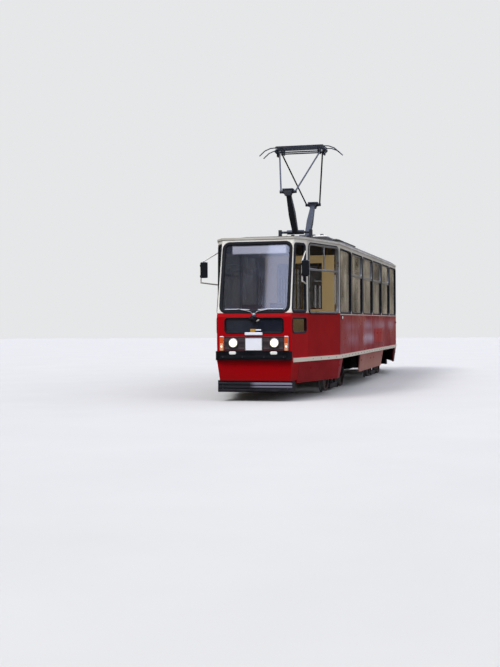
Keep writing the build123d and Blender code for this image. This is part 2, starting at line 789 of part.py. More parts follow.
# Blank number board on the lamp panel and blank destination board behind the windscreen
number_board_width = 304.0
number_board_height = 217.0
number_board_z = rail_head + 1007.0
number_board_sheet = 12.0
sign_width = 1030.0
sign_height = 156.0
sign_depth = 60.0
sign_z = rail_head + 2728.0
sign_stand_off = 120.0
hanger_size = 40.0
with BuildPart() as boards:
    with BuildSketch(Plane.YZ.offset(half_length + panel_sheet + rib_depth)):
        with Locations((0, number_board_z)):
            Rectangle(number_board_width, number_board_height)
    extrude(amount=number_board_sheet)
    sign_x = half_length - wall - (sign_z - rake_base_z) * tan(rake) - sign_stand_off
    with Locations((sign_x, 0, sign_z)):
        Box(sign_depth, sign_width, sign_height)
    hanger_top_z = eave_z + hip_side - wall / 2
    with BuildSketch(Plane.XY.offset(sign_z + sign_height / 2)):
        with Locations((sign_x, 0)):
            with GridLocations(1, sign_width - 2 * hanger_size, 1, 2):
                Rectangle(hanger_size, hanger_size)
    extrude(amount=hanger_top_z - sign_z - sign_height / 2)
    add(roof.part, mode=Mode.SUBTRACT)
save(boards, "boards")


# Glass panes, each set in its opening behind a rubber
def pane_slab(depth):
    """Slab parallel to the raked ends, in the middle of the end walls."""
    middle = wall / 2
    run = (eave_z - rake_base_z) * tan(rake)
    for sign in (-1, 1):
        outer = half_length - middle + depth / 2
        inner = half_length - middle - depth / 2
        Polygon((sign * outer, rake_base_z), (sign * (outer - run), eave_z),
                (sign * (inner - run), eave_z), (sign * inner, rake_base_z), align=None)
        with Locations((sign * (half_length - middle), (sill_z + rake_base_z) / 2)):
            Rectangle(depth, rake_base_z - sill_z)


with BuildPart() as end_windows:
    with BuildSketch(Plane.XZ):
        pane_slab(glass_thickness)
    extrude(amount=half_width, both=True)
    with BuildSketch(Plane.YZ):
        end_window_outline()
        lower_window_outline(lower_window_width)
    extrude(amount=2 * half_length, both=True, mode=Mode.INTERSECT)
save(end_windows, "end_windows")

# The corner panes follow the twist of the cheeks
pane_inset = (wall + glass_thickness) / 2
with BuildPart() as corner_panes:
    for sign in (-1, 1):
        add(nose_block(sign, pane_inset - glass_thickness, eave_z))
        add(nose_block(sign, pane_inset, eave_z), mode=Mode.SUBTRACT)
    with BuildPart(mode=Mode.INTERSECT):
        for key, face in cheek_faces.items():
            with BuildSketch(face.offset(wall)) as corner_outline:
                corner_window_outline(forward_sign(key))
            extrude(corner_outline.sketch, amount=-twist_reach)

with BuildPart() as side_windows:
    add(corner_panes.part)
    for face, windows, flip in ((left_face, left_windows, -1), (right_face, right_windows, 1)):
        with BuildSketch(face.offset(-pane_inset)):
            for middle, width in windows:
                with Locations((flip * middle, window_z)):
                    RectangleRounded(width, window_height, window_radius)
        extrude(amount=glass_thickness)
    for key in ("left_front", "left_rear"):
        with BuildSketch(quarter_faces[key].offset(-pane_inset)):
            with Locations((0, window_z)):
                RectangleRounded(quarter_window, window_height, window_radius)
        extrude(amount=glass_thickness)
    for face in cheek_faces.values():
        with BuildSketch(face.offset(-pane_inset)):
            lower_window_outline(corner_lower_width)
        extrude(amount=glass_thickness)
save(side_windows, "side_windows")

# Seats: a shell on a pedestal, facing forward, in single rows beside the walls
seat_width = 430.0
seat_y = half_width - 340.0
left_seat_xs = (-3950, -3150, -2350, -1550, -750, 50, 850, 1650, 2450, 3250)
right_seat_xs = (-3900, -3150, -2400, 2250, 3000, 3750)
seat_shell = [(100, 380), (230, 390), (230, 430), (-160, 410), (-260, 880), (-300, 880), (-210, 380),
              (-60, 370)]


def seat_outline(x):
    """Side view of one seat, with its pedestal on the floor."""
    Polygon((x - 60, floor_z), (x + 140, floor_z),
            *[(x + ahead, floor_z + up) for ahead, up in seat_shell], align=None)


driver_place = (half_length - 1300.0, 150.0)
with BuildPart() as seats:
    for x, y in [(x, seat_y) for x in left_seat_xs] + [(x, -seat_y) for x in right_seat_xs] + [driver_place]:
        with BuildSketch(Plane.XZ.offset(-y)):
            seat_outline(x)
        extrude(amount=seat_width / 2, both=True)
save(seats, "seats")

# Control desk below the windscreen, as (distance behind the nose, height over the floor)
desk_half_width = end_half_width - 130.0
desk_profile = [(520, 0), (190, 0), (190, 300), (110, 610), (510, 670), (570, 610), (450, 550), (450, 310)]
with BuildPart() as control_desk:
    with BuildSketch(Plane.XZ):
        Polygon(*[(half_length - back, floor_z + up) for back, up in desk_profile], align=None)
    extrude(amount=desk_half_width, both=True)
save(control_desk, "control_desk")

# Partition behind the driver, with a doorway on the right
partition_sheet = 30.0
partition_gap = 12.0
partition_right_y = -270.0
partition_top_z = rail_head + 2700.0
partition_window = 900.0
partition_left_y = taper_y(partition_x + partition_sheet) - wall / cos(taper) - partition_gap
with BuildPart() as cab_partition:
    middle = (partition_left_y + partition_right_y) / 2
    with BuildSketch(Plane.YZ.offset(partition_x)):
        with Locations((middle, (floor_z + partition_top_z) / 2)):
            Rectangle(partition_left_y - partition_right_y, partition_top_z - floor_z)
        with Locations((middle, partition_top_z - 150 - partition_window / 2)):
            Rectangle(partition_window, partition_window, mode=Mode.SUBTRACT)
    extrude(amount=partition_sheet)
save(cab_partition, "cab_partition")

# Handrails: posts from floor to roof, and a rail hung from the roof on each side
post_radius = 17.0
post_y = 560.0
rail_y = 500.0
hand_rail_z = rail_head + 2740.0
hanger_pitch = 2100.0
rail_half_length = 2 * hanger_pitch
post_places = [(320.0 - taper_start, 40.0 - post_y), (-350.0, -post_y), (350.0, -post_y)] + [
    (x, post_y) for x in (-2900.0, -1300.0, 400.0, 2000.0)]
ceiling_z = eave_z + crown_rise - wall
with BuildPart() as handrails:
    with BuildSketch(Plane.XY.offset(floor_z)):
        with Locations(post_places):
            RegularPolygon(post_radius, bar_sides)
    extrude(amount=ceiling_z - floor_z)
    for y in (-rail_y, rail_y):
        with Locations((0, y, hand_rail_z)):
            Box(2 * (rail_half_length + post_radius), 2 * post_radius, 2 * post_radius)
        with BuildSketch(Plane.XY.offset(hand_rail_z)):
            with Locations((0, y)):
                with GridLocations(hanger_pitch, 1, 5, 1):
                    Rectangle(2 * post_radius, 2 * post_radius)
        extrude(amount=ceiling_z - hand_rail_z)
    add(roof.part, mode=Mode.SUBTRACT)
save(handrails, "handrails")

# Rear coupling yoke: a slotted block with a bore for the drawbar's pin, hung from the frame
coupler_pin_radius = 20.5
yoke_length = 300.0
yoke_width = 160.0
yoke_height = 130.0
yoke_stand = 70.0
slot_length = 100.0
slot_height = 50.0
with BuildPart() as coupler_yoke:
    with Locations((-half_length - yoke_stand + yoke_length / 2, 0, coupler_z)):
        Box(yoke_length, yoke_width, yoke_height)
    with Locations((-half_length - yoke_stand + slot_length / 2, 0, coupler_z)):
        Box(slot_length, 2 * yoke_width, slot_height, mode=Mode.SUBTRACT)
        Cylinder(coupler_pin_radius, 2 * yoke_height, mode=Mode.SUBTRACT)
    with Locations((-half_length + wall + sole_width / 2, 0, (coupler_z + sole_bottom_z) / 2)):
        Box(sole_width, yoke_width, sole_bottom_z - coupler_z)
save(coupler_yoke, "coupler_yoke")

# Mirrors: each head hangs inside a tube loop that leaves the corner pillar. The right
# loop reaches out further, past the doors. Reach is the loop's distance from the middle.
mirror_x = half_length - 150.0
mirror_tube_radius = 13.0
mirror_foot_zs = (rail_head + 2100.0, rail_head + 2720.0)
mirror_loop_zs = (rail_head + 2130.0, rail_head + 2490.0)
mirror_sheet = 35.0
mirror_width = 125.0
mirror_height = 285.0
with BuildPart() as mirrors:
    for side, reach, head_side in ((1, 860.0, 1), (-1, 1030.0, -1)):
        foot_y = side * (taper_y(corner_pillar_x) - wall / 2)
        with BuildLine() as loop:
            Polyline((corner_pillar_x, foot_y, mirror_foot_zs[0]), (mirror_x, side * reach, mirror_loop_zs[0]),
                     (mirror_x, side * reach, mirror_loop_zs[1]), (corner_pillar_x, foot_y, mirror_foot_zs[1]))
        with BuildSketch(Plane(origin=loop.line @ 0, z_dir=loop.line % 0)):
            RegularPolygon(mirror_tube_radius, bar_sides)
        sweep(path=loop.line, transition=Transition.RIGHT)
        head_y = side * (reach + head_side * mirror_width / 2)
        with Locations((mirror_x, head_y, mirror_loop_zs[1] - mirror_height / 2 + mirror_tube_radius)):
            Box(mirror_sheet, mirror_width, mirror_height)
    add(outer_form.part, mode=Mode.SUBTRACT)
save(mirrors, "mirrors")

# Roof equipment boxes, as (x, y, length, width, height over the crown)
roof_box_places = [
    (1150.0, 500.0, 700.0, 300.0, 130.0), (3950.0, 760.0, 760.0, 260.0, -10.0), (-1400.0, 0.0, 1600.0, 900.0, 220.0)]
roof_box_sink = 90.0
with BuildPart() as roof_boxes:
    for x, y, length, width, height in roof_box_places:
        with Locations((x, y, eave_z + crown_rise + (height - roof_box_sink) / 2)):
            Box(length, width, height + roof_box_sink)
    add(roof_form.part, mode=Mode.SUBTRACT)
save(roof_boxes, "roof_boxes")

# Pantograph base: insulators, frame rails, bearing pedestals and two cross shafts
base_rail_y = 330.0
base_rail_size = 60.0
base_rail_length = 1500.0
insulator_radius = 45.0
insulator_x = 560.0
base_shaft_radius = 25.0
pedestal_length = 90.0
pedestal_cap = 50.0
base_rail_z = base_pivot_z - base_rail_drop
with BuildPart() as pantograph_base:
    with Locations((pantograph_x, 0, (eave_z + base_rail_z) / 2)):
        with GridLocations(2 * insulator_x, 2 * base_rail_y, 2, 2):
            Cylinder(insulator_radius, base_rail_z - eave_z)
    with Locations((pantograph_x, 0, base_rail_z)):
        with GridLocations(1, 2 * base_rail_y, 1, 2):
            Box(base_rail_length, base_rail_size, base_rail_size)
    with Locations((pantograph_x, 0, (base_rail_z + base_pivot_z + pedestal_cap) / 2)):
        with GridLocations(2 * base_pivot_x, 2 * base_rail_y, 2, 2):
            Box(pedestal_length, base_rail_size, base_rail_drop + pedestal_cap)
    for x_sign in (-1, 1):
        with Locations(Location((pantograph_x + x_sign * base_pivot_x, 0, base_pivot_z), (90, 0, 0))):
            Cylinder(base_shaft_radius, 2 * base_rail_y)
    add(roof_form.part, mode=Mode.SUBTRACT)
save(pantograph_base, "pantograph_base")


# Lower arms. Half widths at foot, swell and tip, seen from the side and from above
lower_foot_half = 180.0
knee_half = 115.0
knee_shaft_radius = 20.0
boss_wall = 21.0
arm_swell_at = 0.45
arm_side_halves = (50.0, 60.0, 30.0)
arm_top_halves = (55.0, 65.0, 45.0)


def spindle(length, foot_half, swell_half, tip_half):
    """Outline of a bar that swells and then narrows along its length."""
    swell_x = arm_swell_at * length
    Polygon((0, -foot_half), (swell_x, -swell_half), (length, -tip_half), (length, tip_half),
            (swell_x, swell_half), (0, foot_half), align=None)


def lower_arm(sign):
    """Tapered lower arm between a tube on the base shaft and a tube at the knee."""
    foot = Vector(pantograph_x + sign * base_pivot_x, 0, base_pivot_z)
    knee = Vector(pantograph_x + sign * knee_x, 0, knee_z)
    run = knee - foot
    with BuildSketch(Plane(origin=foot, x_dir=run, z_dir=(0, -1, 0))) as side_view:
        spindle(run.length, *arm_side_halves)
    extrude(side_view.sketch, amount=knee_half, both=True)
    with BuildSketch(Plane(origin=foot, x_dir=run, z_dir=run.cross(Vector(0, 1, 0)))) as top_view:
        spindle(run.length, *arm_top_halves)
    extrude(top_view.sketch, amount=knee_half, both=True, mode=Mode.INTERSECT)
    for centre, shaft, half in ((foot, base_shaft_radius, lower_foot_half),
                                (knee, knee_shaft_radius, knee_half)):
        with Locations(Location(centre, (90, 0, 0))):
            Cylinder(shaft + boss_wall, 2 * half)
            Cylinder(shaft + pin_gap, 4 * half, mode=Mode.SUBTRACT)


with BuildPart() as front_lower_arm:
    lower_arm(1)
save(front_lower_arm, "front_lower_arm")

with BuildPart() as rear_lower_arm:
    lower_arm(-1)
save(rear_lower_arm, "rear_lower_arm")

# Upper arms
head_shaft_radius = 15.0
upper_tube_radius = 17.0
knee_boss_radius = 34.0
head_boss_radius = 28.0
head_boss_width = 36.0
shaft_end = 25.0


def upper_arm(sign):
    """Two tubes spread from the knee shaft to the ends of the head."""
    knee = (pantograph_x + sign * knee_x, knee_z)
    head = (pantograph_x + sign * head_pivot_x, head_pivot_z)
    with Locations(Location((knee[0], 0, knee[1]), (90, 0, 0))):
        Cylinder(knee_shaft_radius, 2 * (knee_arm_y + shaft_end))
    for side in (-1, 1):
        start = Vector(knee[0], side * knee_arm_y, knee[1])
        end = Vector(head[0], side * head_arm_y, head[1])
        run = end - start
        with BuildSketch(Plane(origin=start, z_dir=run)) as tube:
            RegularPolygon(upper_tube_radius, bar_sides)
        extrude(tube.sketch, amount=run.length)
        with Locations(Location((knee[0], side * knee_arm_y, knee[1]), (90, 0, 0))):
            Cylinder(knee_boss_radius, 2 * shaft_end)
        with Locations(Location((head[0], side * head_arm_y, head[1]), (90, 0, 0))):
            Cylinder(head_boss_radius, head_boss_width)
            Cylinder(head_shaft_radius + pin_gap, head_boss_width, mode=Mode.SUBTRACT)
    with Locations(Location((head[0], 0, head[1]), (90, 0, 0))):
        Cylinder(head_shaft_radius + pin_gap, 2 * head_arm_y, mode=Mode.SUBTRACT)


with BuildPart() as front_upper_arm:
    upper_arm(1)
save(front_upper_arm, "front_upper_arm")

with BuildPart() as rear_upper_arm:
    upper_arm(-1)
save(rear_upper_arm, "rear_upper_arm")

# Pantograph head: side plates, two shafts, contact bars and down-curved horns
strip_rise = 95.0
bar_size = 34.0
bar_x = 190.0
bar_half = 530.0
plate_y = 402.0
plate_sheet = 14.0
plate_drop = 32.0
plate_top_half = bar_x + 25.0
plate_foot_half = bar_x - 20.0
horn_radius = 12.0
# Each horn's points as (distance past the bar's end, drop)
horn_points = [(-5.0, 0.0), (110.0, 8.0), (230.0, 55.0), (355.0, 165.0)]
with BuildPart() as pantograph_head:
    bar_z = head_pivot_z + strip_rise
    for side in (-1, 1):
        with BuildSketch(Plane.XZ.offset(-side * plate_y)):
            Polygon((pantograph_x - plate_top_half, bar_z), (pantograph_x + plate_top_half, bar_z),
                    (pantograph_x + plate_foot_half, head_pivot_z - plate_drop),
                    (pantograph_x - plate_foot_half, head_pivot_z - plate_drop), align=None)
        extrude(amount=plate_sheet / 2, both=True)
    for sign in (-1, 1):
        with Locations(Location((pantograph_x + sign * head_pivot_x, 0, head_pivot_z), (90, 0, 0))):
            Cylinder(head_shaft_radius, 2 * (head_arm_y + sign * shaft_end))
    for x_shift in (-bar_x, 0, bar_x):
        with Locations((pantograph_x + x_shift, 0, bar_z)):
            Box(bar_size, 2 * bar_half, bar_size)
    for x_shift in (-bar_x, bar_x):
        for side in (-1, 1):
            with BuildLine() as horn_path:
                Polyline(*[(pantograph_x + x_shift, side * (bar_half + past), bar_z - drop)
                           for past, drop in horn_points])
            with BuildSketch(Plane(origin=horn_path.line @ 0, z_dir=horn_path.line % 0)):
                RegularPolygon(horn_radius, bar_sides)
            sweep(path=horn_path.line, transition=Transition.RIGHT)
save(pantograph_head, "pantograph_head")


# Wheelsets: an axle with two flanged wheels, turned as one profile
flange_tip = 11.0
hub_radius = 110.0
hub_stand = 18.0
rim_depth_radial = 55.0
web_set_back = 40.0


def wheelset(x):
    """One wheelset on its axle line at x."""
    centre = (x, 0, wheel_z)
    hub_face = wheel_outer_face + hub_stand
    web_face = wheel_outer_face - web_set_back
    rim_radius = tread_radius - rim_depth_radial
    half_profile = [
        (hub_face, 0), (hub_face, hub_radius), (web_face, hub_radius), (web_face, rim_radius),
        (wheel_outer_face, rim_radius), (wheel_outer_face, tread_radius),
        (wheel_inner_face + flange_thickness, tread_radius),
        (wheel_inner_face + flange_tip, flange_radius), (wheel_inner_face, flange_radius),
        (wheel_inner_face, axle_radius),
    ]
    mirrored = [(-y, radius) for y, radius in reversed(half_profile)]
    with BuildSketch(Plane(origin=centre, x_dir=(0, 1, 0), z_dir=(1, 0, 0))) as profile:
        with BuildLine():
            Polyline(*half_profile, *mirrored, close=True)
        make_face()
    revolve(profile.sketch, axis=Axis(centre, (0, 1, 0)))


wheelset_xs = [bogie_x + half_wheelbase, bogie_x - half_wheelbase,
               -bogie_x + half_wheelbase, -bogie_x - half_wheelbase]
for number, x in enumerate(wheelset_xs, start=1):
    with BuildPart() as wheelset_block:
        wheelset(x)
    save(wheelset_block, f"wheelset_{number}")

# Bogie frames: side beams inside the wheels, transoms, bolster, bearings, track brakes
beam_y = 480.0
beam_width = 100.0
beam_over_axle = 130.0
beam_bottom_z = rail_head + 430.0
beam_top_z = rail_head + 560.0
bearing_length = 230.0
bearing_drop = 110.0
transom_x = 300.0
transom_width = 110.0
transom_top_z = rail_head + 655.0
bolster_width = 420.0
bolster_set_back = 30.0
centre_plate_radius = 190.0
brake_y = 750.0
brake_half_length = 430.0
brake_width = 70.0
brake_bottom_z = rail_head + 14.0
brake_top_z = rail_head + 110.0
hanger_x = 260.0
hanger_width = 50.0
bracket_height = 40.0


def bogie_frame(centre_x):
    """Frame of one bogie."""
    for side in (-1, 1):
        with Locations((centre_x, side * beam_y, (beam_bottom_z + beam_top_z) / 2)):
            Box(2 * (half_wheelbase + beam_over_axle), beam_width, beam_top_z - beam_bottom_z)
        for end in (-1, 1):
            bearing_x = centre_x + end * half_wheelbase
            with Locations((bearing_x, side * beam_y, (wheel_z - bearing_drop + beam_bottom_z) / 2)):
                Box(bearing_length, beam_width, beam_bottom_z - wheel_z + bearing_drop)
            bracket_y = side * (beam_y + brake_y + brake_width / 2) / 2
            with Locations((centre_x + end * hanger_x, bracket_y, beam_bottom_z + bracket_height / 2)):
                Box(brake_width, brake_y + brake_width / 2 - beam_y, bracket_height)
            with Locations((centre_x + end * hanger_x, side * brake_y, (brake_top_z + beam_bottom_z) / 2)):
                Box(hanger_width, hanger_width, beam_bottom_z - brake_top_z + bracket_height / 2)
        with Locations((centre_x, side * brake_y, (brake_bottom_z + brake_top_z) / 2)):
            Box(2 * brake_half_length, brake_width, brake_top_z - brake_bottom_z)
    for end in (-1, 1):
        with Locations((centre_x + end * transom_x, 0, (beam_top_z + transom_top_z) / 2)):
            Box(transom_width, 2 * beam_y + beam_width, transom_top_z - beam_top_z)
    with Locations((centre_x, 0, (transom_top_z + beam_top_z + bolster_set_back) / 2)):
        Box(2 * transom_x, bolster_width, transom_top_z - beam_top_z - bolster_set_back)
    plate_bottom_z = transom_top_z - bolster_set_back
    with Locations((centre_x, 0, (plate_bottom_z + bolster_top_z) / 2)):
        Cylinder(centre_plate_radius, bolster_top_z - plate_bottom_z)
    with Locations((centre_x, 0, bolster_top_z - centre_pin_length / 2)):
        Cylinder(centre_pin_radius + bearing_gap, centre_pin_length + 4 * bearing_gap, mode=Mode.SUBTRACT)
    for end in (-1, 1):
        with Locations(Location((centre_x + end * half_wheelbase, 0, wheel_z), (90, 0, 0))):
            Cylinder(axle_radius + bearing_gap, 2 * wheel_inner_face, mode=Mode.SUBTRACT)


# Motors: one plain block each, with a shaft to the gear case on its axle
motor_y = 195.0
motor_x = 60.0
motor_radius = 165.0
motor_length = 640.0
motor_bracket_length = 560.0
motor_bracket_width = 120.0
drive_shaft_radius = 38.0
gear_case_length = 300.0
gear_case_width = 220.0
gear_case_height = 280.0


def bogie_motors(centre_x):
    """Two traction motors slung lengthwise, each driving one axle."""
    for end in (-1, 1):
        y = end * motor_y
        middle_x = centre_x + end * motor_x
        axle_x = centre_x + end * half_wheelbase
        motor_end_x = middle_x + end * motor_length / 2
        with Locations(Location((middle_x, y, wheel_z), (0, 90, 0))):
            Cylinder(motor_radius, motor_length)
        with Locations((middle_x, y, (wheel_z + beam_top_z) / 2)):
            Box(motor_bracket_length, motor_bracket_width, beam_top_z - wheel_z)
        with Locations(Location(((motor_end_x + axle_x) / 2, y, wheel_z), (0, 90, 0))):
            Cylinder(drive_shaft_radius, abs(axle_x - motor_end_x))
        with Locations((axle_x, y, wheel_z)):
            Box(gear_case_length, gear_case_width, gear_case_height)
        with Locations(Location((axle_x, y, wheel_z), (90, 0, 0))):
            Cylinder(axle_radius + bearing_gap, 2 * gear_case_width, mode=Mode.SUBTRACT)


for name, centre_x in (("front", bogie_x), ("rear", -bogie_x)):
    with BuildPart() as frame_block:
        bogie_frame(centre_x)
    save(frame_block, f"{name}_bogie_frame")
    with BuildPart() as motor_block:
        bogie_motors(centre_x)
    save(motor_block, f"{name}_motors")

# Door leaves. Each door has two folding pairs: an outer leaf on the post and an
# inner leaf hinged to it, with the fold on the outside.
fold_hinge_zs = [rail_head + 560.0, rail_head + 2300.0]
leaf_glass_width = 196.0
leaf_glass_z = (rail_head + 1290.0, rail_head + 2450.0)
leaf_low_glass_z = (rail_head + 640.0, rail_head + 1180.0)
strap_length = 27.0
strap_sheet = 4.0


def upright(face, along, out, radius, low, high):
    """Upright bar beside a wall plane: along it, out from it, between two heights."""
    centre = face.from_local_coords((along, 0, out))
    with BuildSketch(Plane.XY.offset(low)) as bar:
        with Locations((centre.X, centre.Y)):
            RegularPolygon(radius, bar_sides)
    extrude(bar.sketch, amount=high - low)


def door_leaf(face, middle, place, start):
    """One leaf whose left edge, seen from outside, is at start from the door's middle."""
    left = middle + start
    leaf_middle = left + leaf_width / 2
    post_side = -1 if place.startswith("left") else 1
    post_edge = leaf_middle + post_side * leaf_width / 2
    fold_edge = leaf_middle - post_side * leaf_width / 2
    with BuildSketch(face.offset(-leaf_recess)) as leaf:
        with Locations((leaf_middle, (leaf_bottom_z + leaf_top_z) / 2)):
            Rectangle(leaf_width, leaf_top_z - leaf_bottom_z)
        for low, high in (leaf_glass_z, leaf_low_glass_z):
            with Locations((leaf_middle, (low + high) / 2)):
                Rectangle(leaf_glass_width, high - low, mode=Mode.SUBTRACT)
    extrude(leaf.sketch, amount=-leaf_thickness)
    inside = -leaf_recess - leaf_thickness
    outside = -leaf_recess + fold_pin_offset
    if place.endswith("outer"):
        # Turning shaft on the post side, standing on the first tread
        upright(face, post_edge - post_side * shaft_radius, inside, shaft_radius,
                first_tread_z + knuckle_gap, doorway_top_z - knuckle_gap)
        knuckle_shift = 0.0
        strap_side = post_side
        pin_x = fold_edge - post_side * fold_gap / 2
    else:
        # Guide pin on the closing side, running in the slot over the doorway
        upright(face, fold_edge + post_side * shaft_radius, inside, guide_radius,
                leaf_top_z - knuckle_length, leaf_top_z + guide_rise)
        knuckle_shift = knuckle_length + knuckle_gap
        strap_side = -post_side
        pin_x = post_edge + post_side * fold_gap / 2
    for height in fold_hinge_zs:
        low = height + knuckle_shift
        upright(face, pin_x, outside, knuckle_radius, low, low + knuckle_length)
        with BuildSketch(face.offset(-leaf_recess)) as strap:
            with Locations((pin_x + strap_side * strap_length / 2, low + knuckle_length / 2)):
                Rectangle(strap_length, knuckle_length)
        extrude(strap.sketch, amount=strap_sheet)


outer_start = doorway_width / 2 - post_gap - leaf_width
inner_start = outer_start - fold_gap - leaf_width
leaf_places = {
    "left_outer": -outer_start - leaf_width,
    "left_inner": -inner_start - leaf_width,
    "right_inner": inner_start,
    "right_outer": outer_start,
}
for door, (face, middle) in door_faces.items():
    for place, start in leaf_places.items():
        with BuildPart() as leaf_block:
            door_leaf(face, middle, place, start)
        save(leaf_block, f"{door}_{place}")
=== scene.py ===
# %% [markdown]
# This lesson finishes a four-axle tram car for its portrait. The car's structure comes
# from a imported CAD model, which is loaded as a fixed frame. Everything that the lesson
# adds, such as window rubbers, wipers, lamps and bolts, rides on one of its bodies.

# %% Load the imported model
from math import asin, atan2, cos, degrees, pi, radians, sin, tan
from types import SimpleNamespace

import bmesh
import bpy
from mathutils import Matrix, Vector


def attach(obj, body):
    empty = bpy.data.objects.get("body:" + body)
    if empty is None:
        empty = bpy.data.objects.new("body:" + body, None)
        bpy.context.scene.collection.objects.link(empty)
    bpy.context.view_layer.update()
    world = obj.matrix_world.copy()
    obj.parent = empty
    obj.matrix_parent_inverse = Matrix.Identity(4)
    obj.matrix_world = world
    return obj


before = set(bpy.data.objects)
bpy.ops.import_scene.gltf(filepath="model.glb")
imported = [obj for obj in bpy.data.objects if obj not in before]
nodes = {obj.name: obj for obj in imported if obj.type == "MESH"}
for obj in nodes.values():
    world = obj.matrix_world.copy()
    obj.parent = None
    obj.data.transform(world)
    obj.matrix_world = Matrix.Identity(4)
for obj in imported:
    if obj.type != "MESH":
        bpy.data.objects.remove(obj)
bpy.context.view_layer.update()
scene = bpy.context.scene

# %% [markdown]
# The camera stands where the photographer stood: 19 m ahead of the car's nose, to its
# left, at eye height. Its place and lens were solved from the car's own known sizes, so
# the picture's edges and the car's edges agree. A long lens keeps the front upright.

# %% Camera
sensor_mm, picture_height_px, focal_px = 36.0, 667.0, 1098.1
yaw, tilt, roll = 0.2498, 0.01035, -0.0065
camera_x, camera_y, camera_z = 25.8723, 4.8068, 1.4292
forward = Vector((-cos(yaw) * cos(tilt), -sin(yaw) * cos(tilt), -sin(tilt)))
level_right = Vector((-sin(yaw), cos(yaw), 0.0))
level_up = level_right.cross(forward)
right = level_right * cos(roll) + level_up * sin(roll)
up = level_up * cos(roll) - level_right * sin(roll)
camera_data = bpy.data.cameras.new("portrait_camera")
camera_data.lens = focal_px * sensor_mm / picture_height_px
camera_data.sensor_width = sensor_mm
camera_data.clip_end = 500.0
camera = bpy.data.objects.new("portrait_camera", camera_data)
camera.matrix_world = Matrix((
    (right.x, up.x, -forward.x, camera_x),
    (right.y, up.y, -forward.y, camera_y),
    (right.z, up.z, -forward.z, camera_z),
    (0.0, 0.0, 0.0, 1.0),
))
scene.collection.objects.link(camera)
scene.camera = camera
print("lens", round(camera_data.lens, 2), "mm")

# %% [markdown]
# A material is a small network of nodes. One function adds a node and fills its sockets,
# each with a colour, a number or another node, so every finish below reads as a list of
# what it is made of. A Map Range, for example, takes a value, the two ends of the range
# that it reads, and the two ends of the range that it gives. A Mix takes its share as
# socket 0 and its two colours as 6 and 7. Colours are written as on a screen, in sRGB,
# and turned to the linear values that the renderer works with.

# %% Colours and nodes


def linear(code):
    """sRGB hex colour as linear red, green and blue, with an alpha of one."""
    channels = [int(code[i:i + 2], 16) / 255 for i in (1, 3, 5)]
    return tuple(c / 12.92 if c <= 0.04045 else ((c + 0.055) / 1.055) ** 2.4
                 for c in channels) + (1.0,)


def fill(node, sockets):
    """Fills sockets, listed in order or by name: each takes a hex colour, a value or a node."""
    for key, given in sockets.items() if isinstance(sockets, dict) else enumerate(sockets):
        if isinstance(given, bpy.types.Node):
            given = next(output for output in given.outputs if output.enabled)
        if isinstance(given, bpy.types.NodeSocket):
            node.id_data.links.new(given, node.inputs[key])
        else:
            node.inputs[key].default_value = linear(given) if isinstance(given, str) else given


def add_node(tree, kind, sockets=(), **settings):
    """Adds one node with its settings, and fills its sockets."""
    node = tree.nodes.new("ShaderNode" + kind)
    if kind == "Mix":
        settings["data_type"] = "RGBA"
    for key, value in settings.items():
        setattr(node, key, value)
    fill(node, sockets)
    return node


# %% [markdown]
# A pale floor and an even pale surround stand in for the street. Only the camera sees
# them so: light and gloss find a grey floor, dull house fronts round the horizon and a
# bright overcast sky above the roofs, as in a street, which keeps the red deep and gives
# the panes something to mirror. On one side of the street ahead the houses are higher.

# %% Floor, surround and light
floor_half = 70.0
floor_corners = [(x * floor_half, y * floor_half, 0) for x, y in ((-1, -1), (1, -1), (1, 1), (-1, 1))]
floor_mesh = bpy.data.meshes.new("studio_floor")
floor_mesh.from_pydata(floor_corners, [], [(0, 1, 2, 3)])
studio_floor = bpy.data.objects.new("studio_floor", floor_mesh)
scene.collection.objects.link(studio_floor)
pale_floor = bpy.data.materials.new("pale_studio_floor")
pale_floor.use_nodes = True
tree = pale_floor.node_tree
grain = add_node(tree, "TexNoise", {"Scale": 0.6, "Detail": 4.0,
                                    "Vector": add_node(tree, "TexCoord").outputs["Object"]})
tone = add_node(tree, "Mix", {0: grain, 6: "#D3D2CF", 7: "#DCDBD8"})
for_camera = add_node(tree, "LightPath").outputs["Is Camera Ray"]
seen = add_node(tree, "Mix", {0: for_camera, 6: "#5A5753", 7: tone})
fill(tree.nodes["Principled BSDF"], {"Base Color": seen, "Roughness": 0.85})
floor_mesh.materials.append(pale_floor)

world = bpy.data.worlds.new("pale_surround")
scene.world = world
world.use_nodes = True
tree = world.node_tree
tree.nodes.clear()
toward = add_node(tree, "TexCoord").outputs["Generated"]
aim = add_node(tree, "SeparateXYZ", [toward]).outputs
# The street ahead turns here: houses stand high on one side of this line, low on the other
turning = add_node(tree, "Math", [aim["X"], 0.270, aim["Y"]], operation="MULTIPLY_ADD")
skyline = add_node(tree, "MapRange", [turning, -0.012, 0.012, 0.62, 0.20])
over_roofs = add_node(tree, "Math", [aim["Z"], skyline], operation="SUBTRACT")
is_sky = add_node(tree, "MapRange", [over_roofs, -0.03, 0.03])
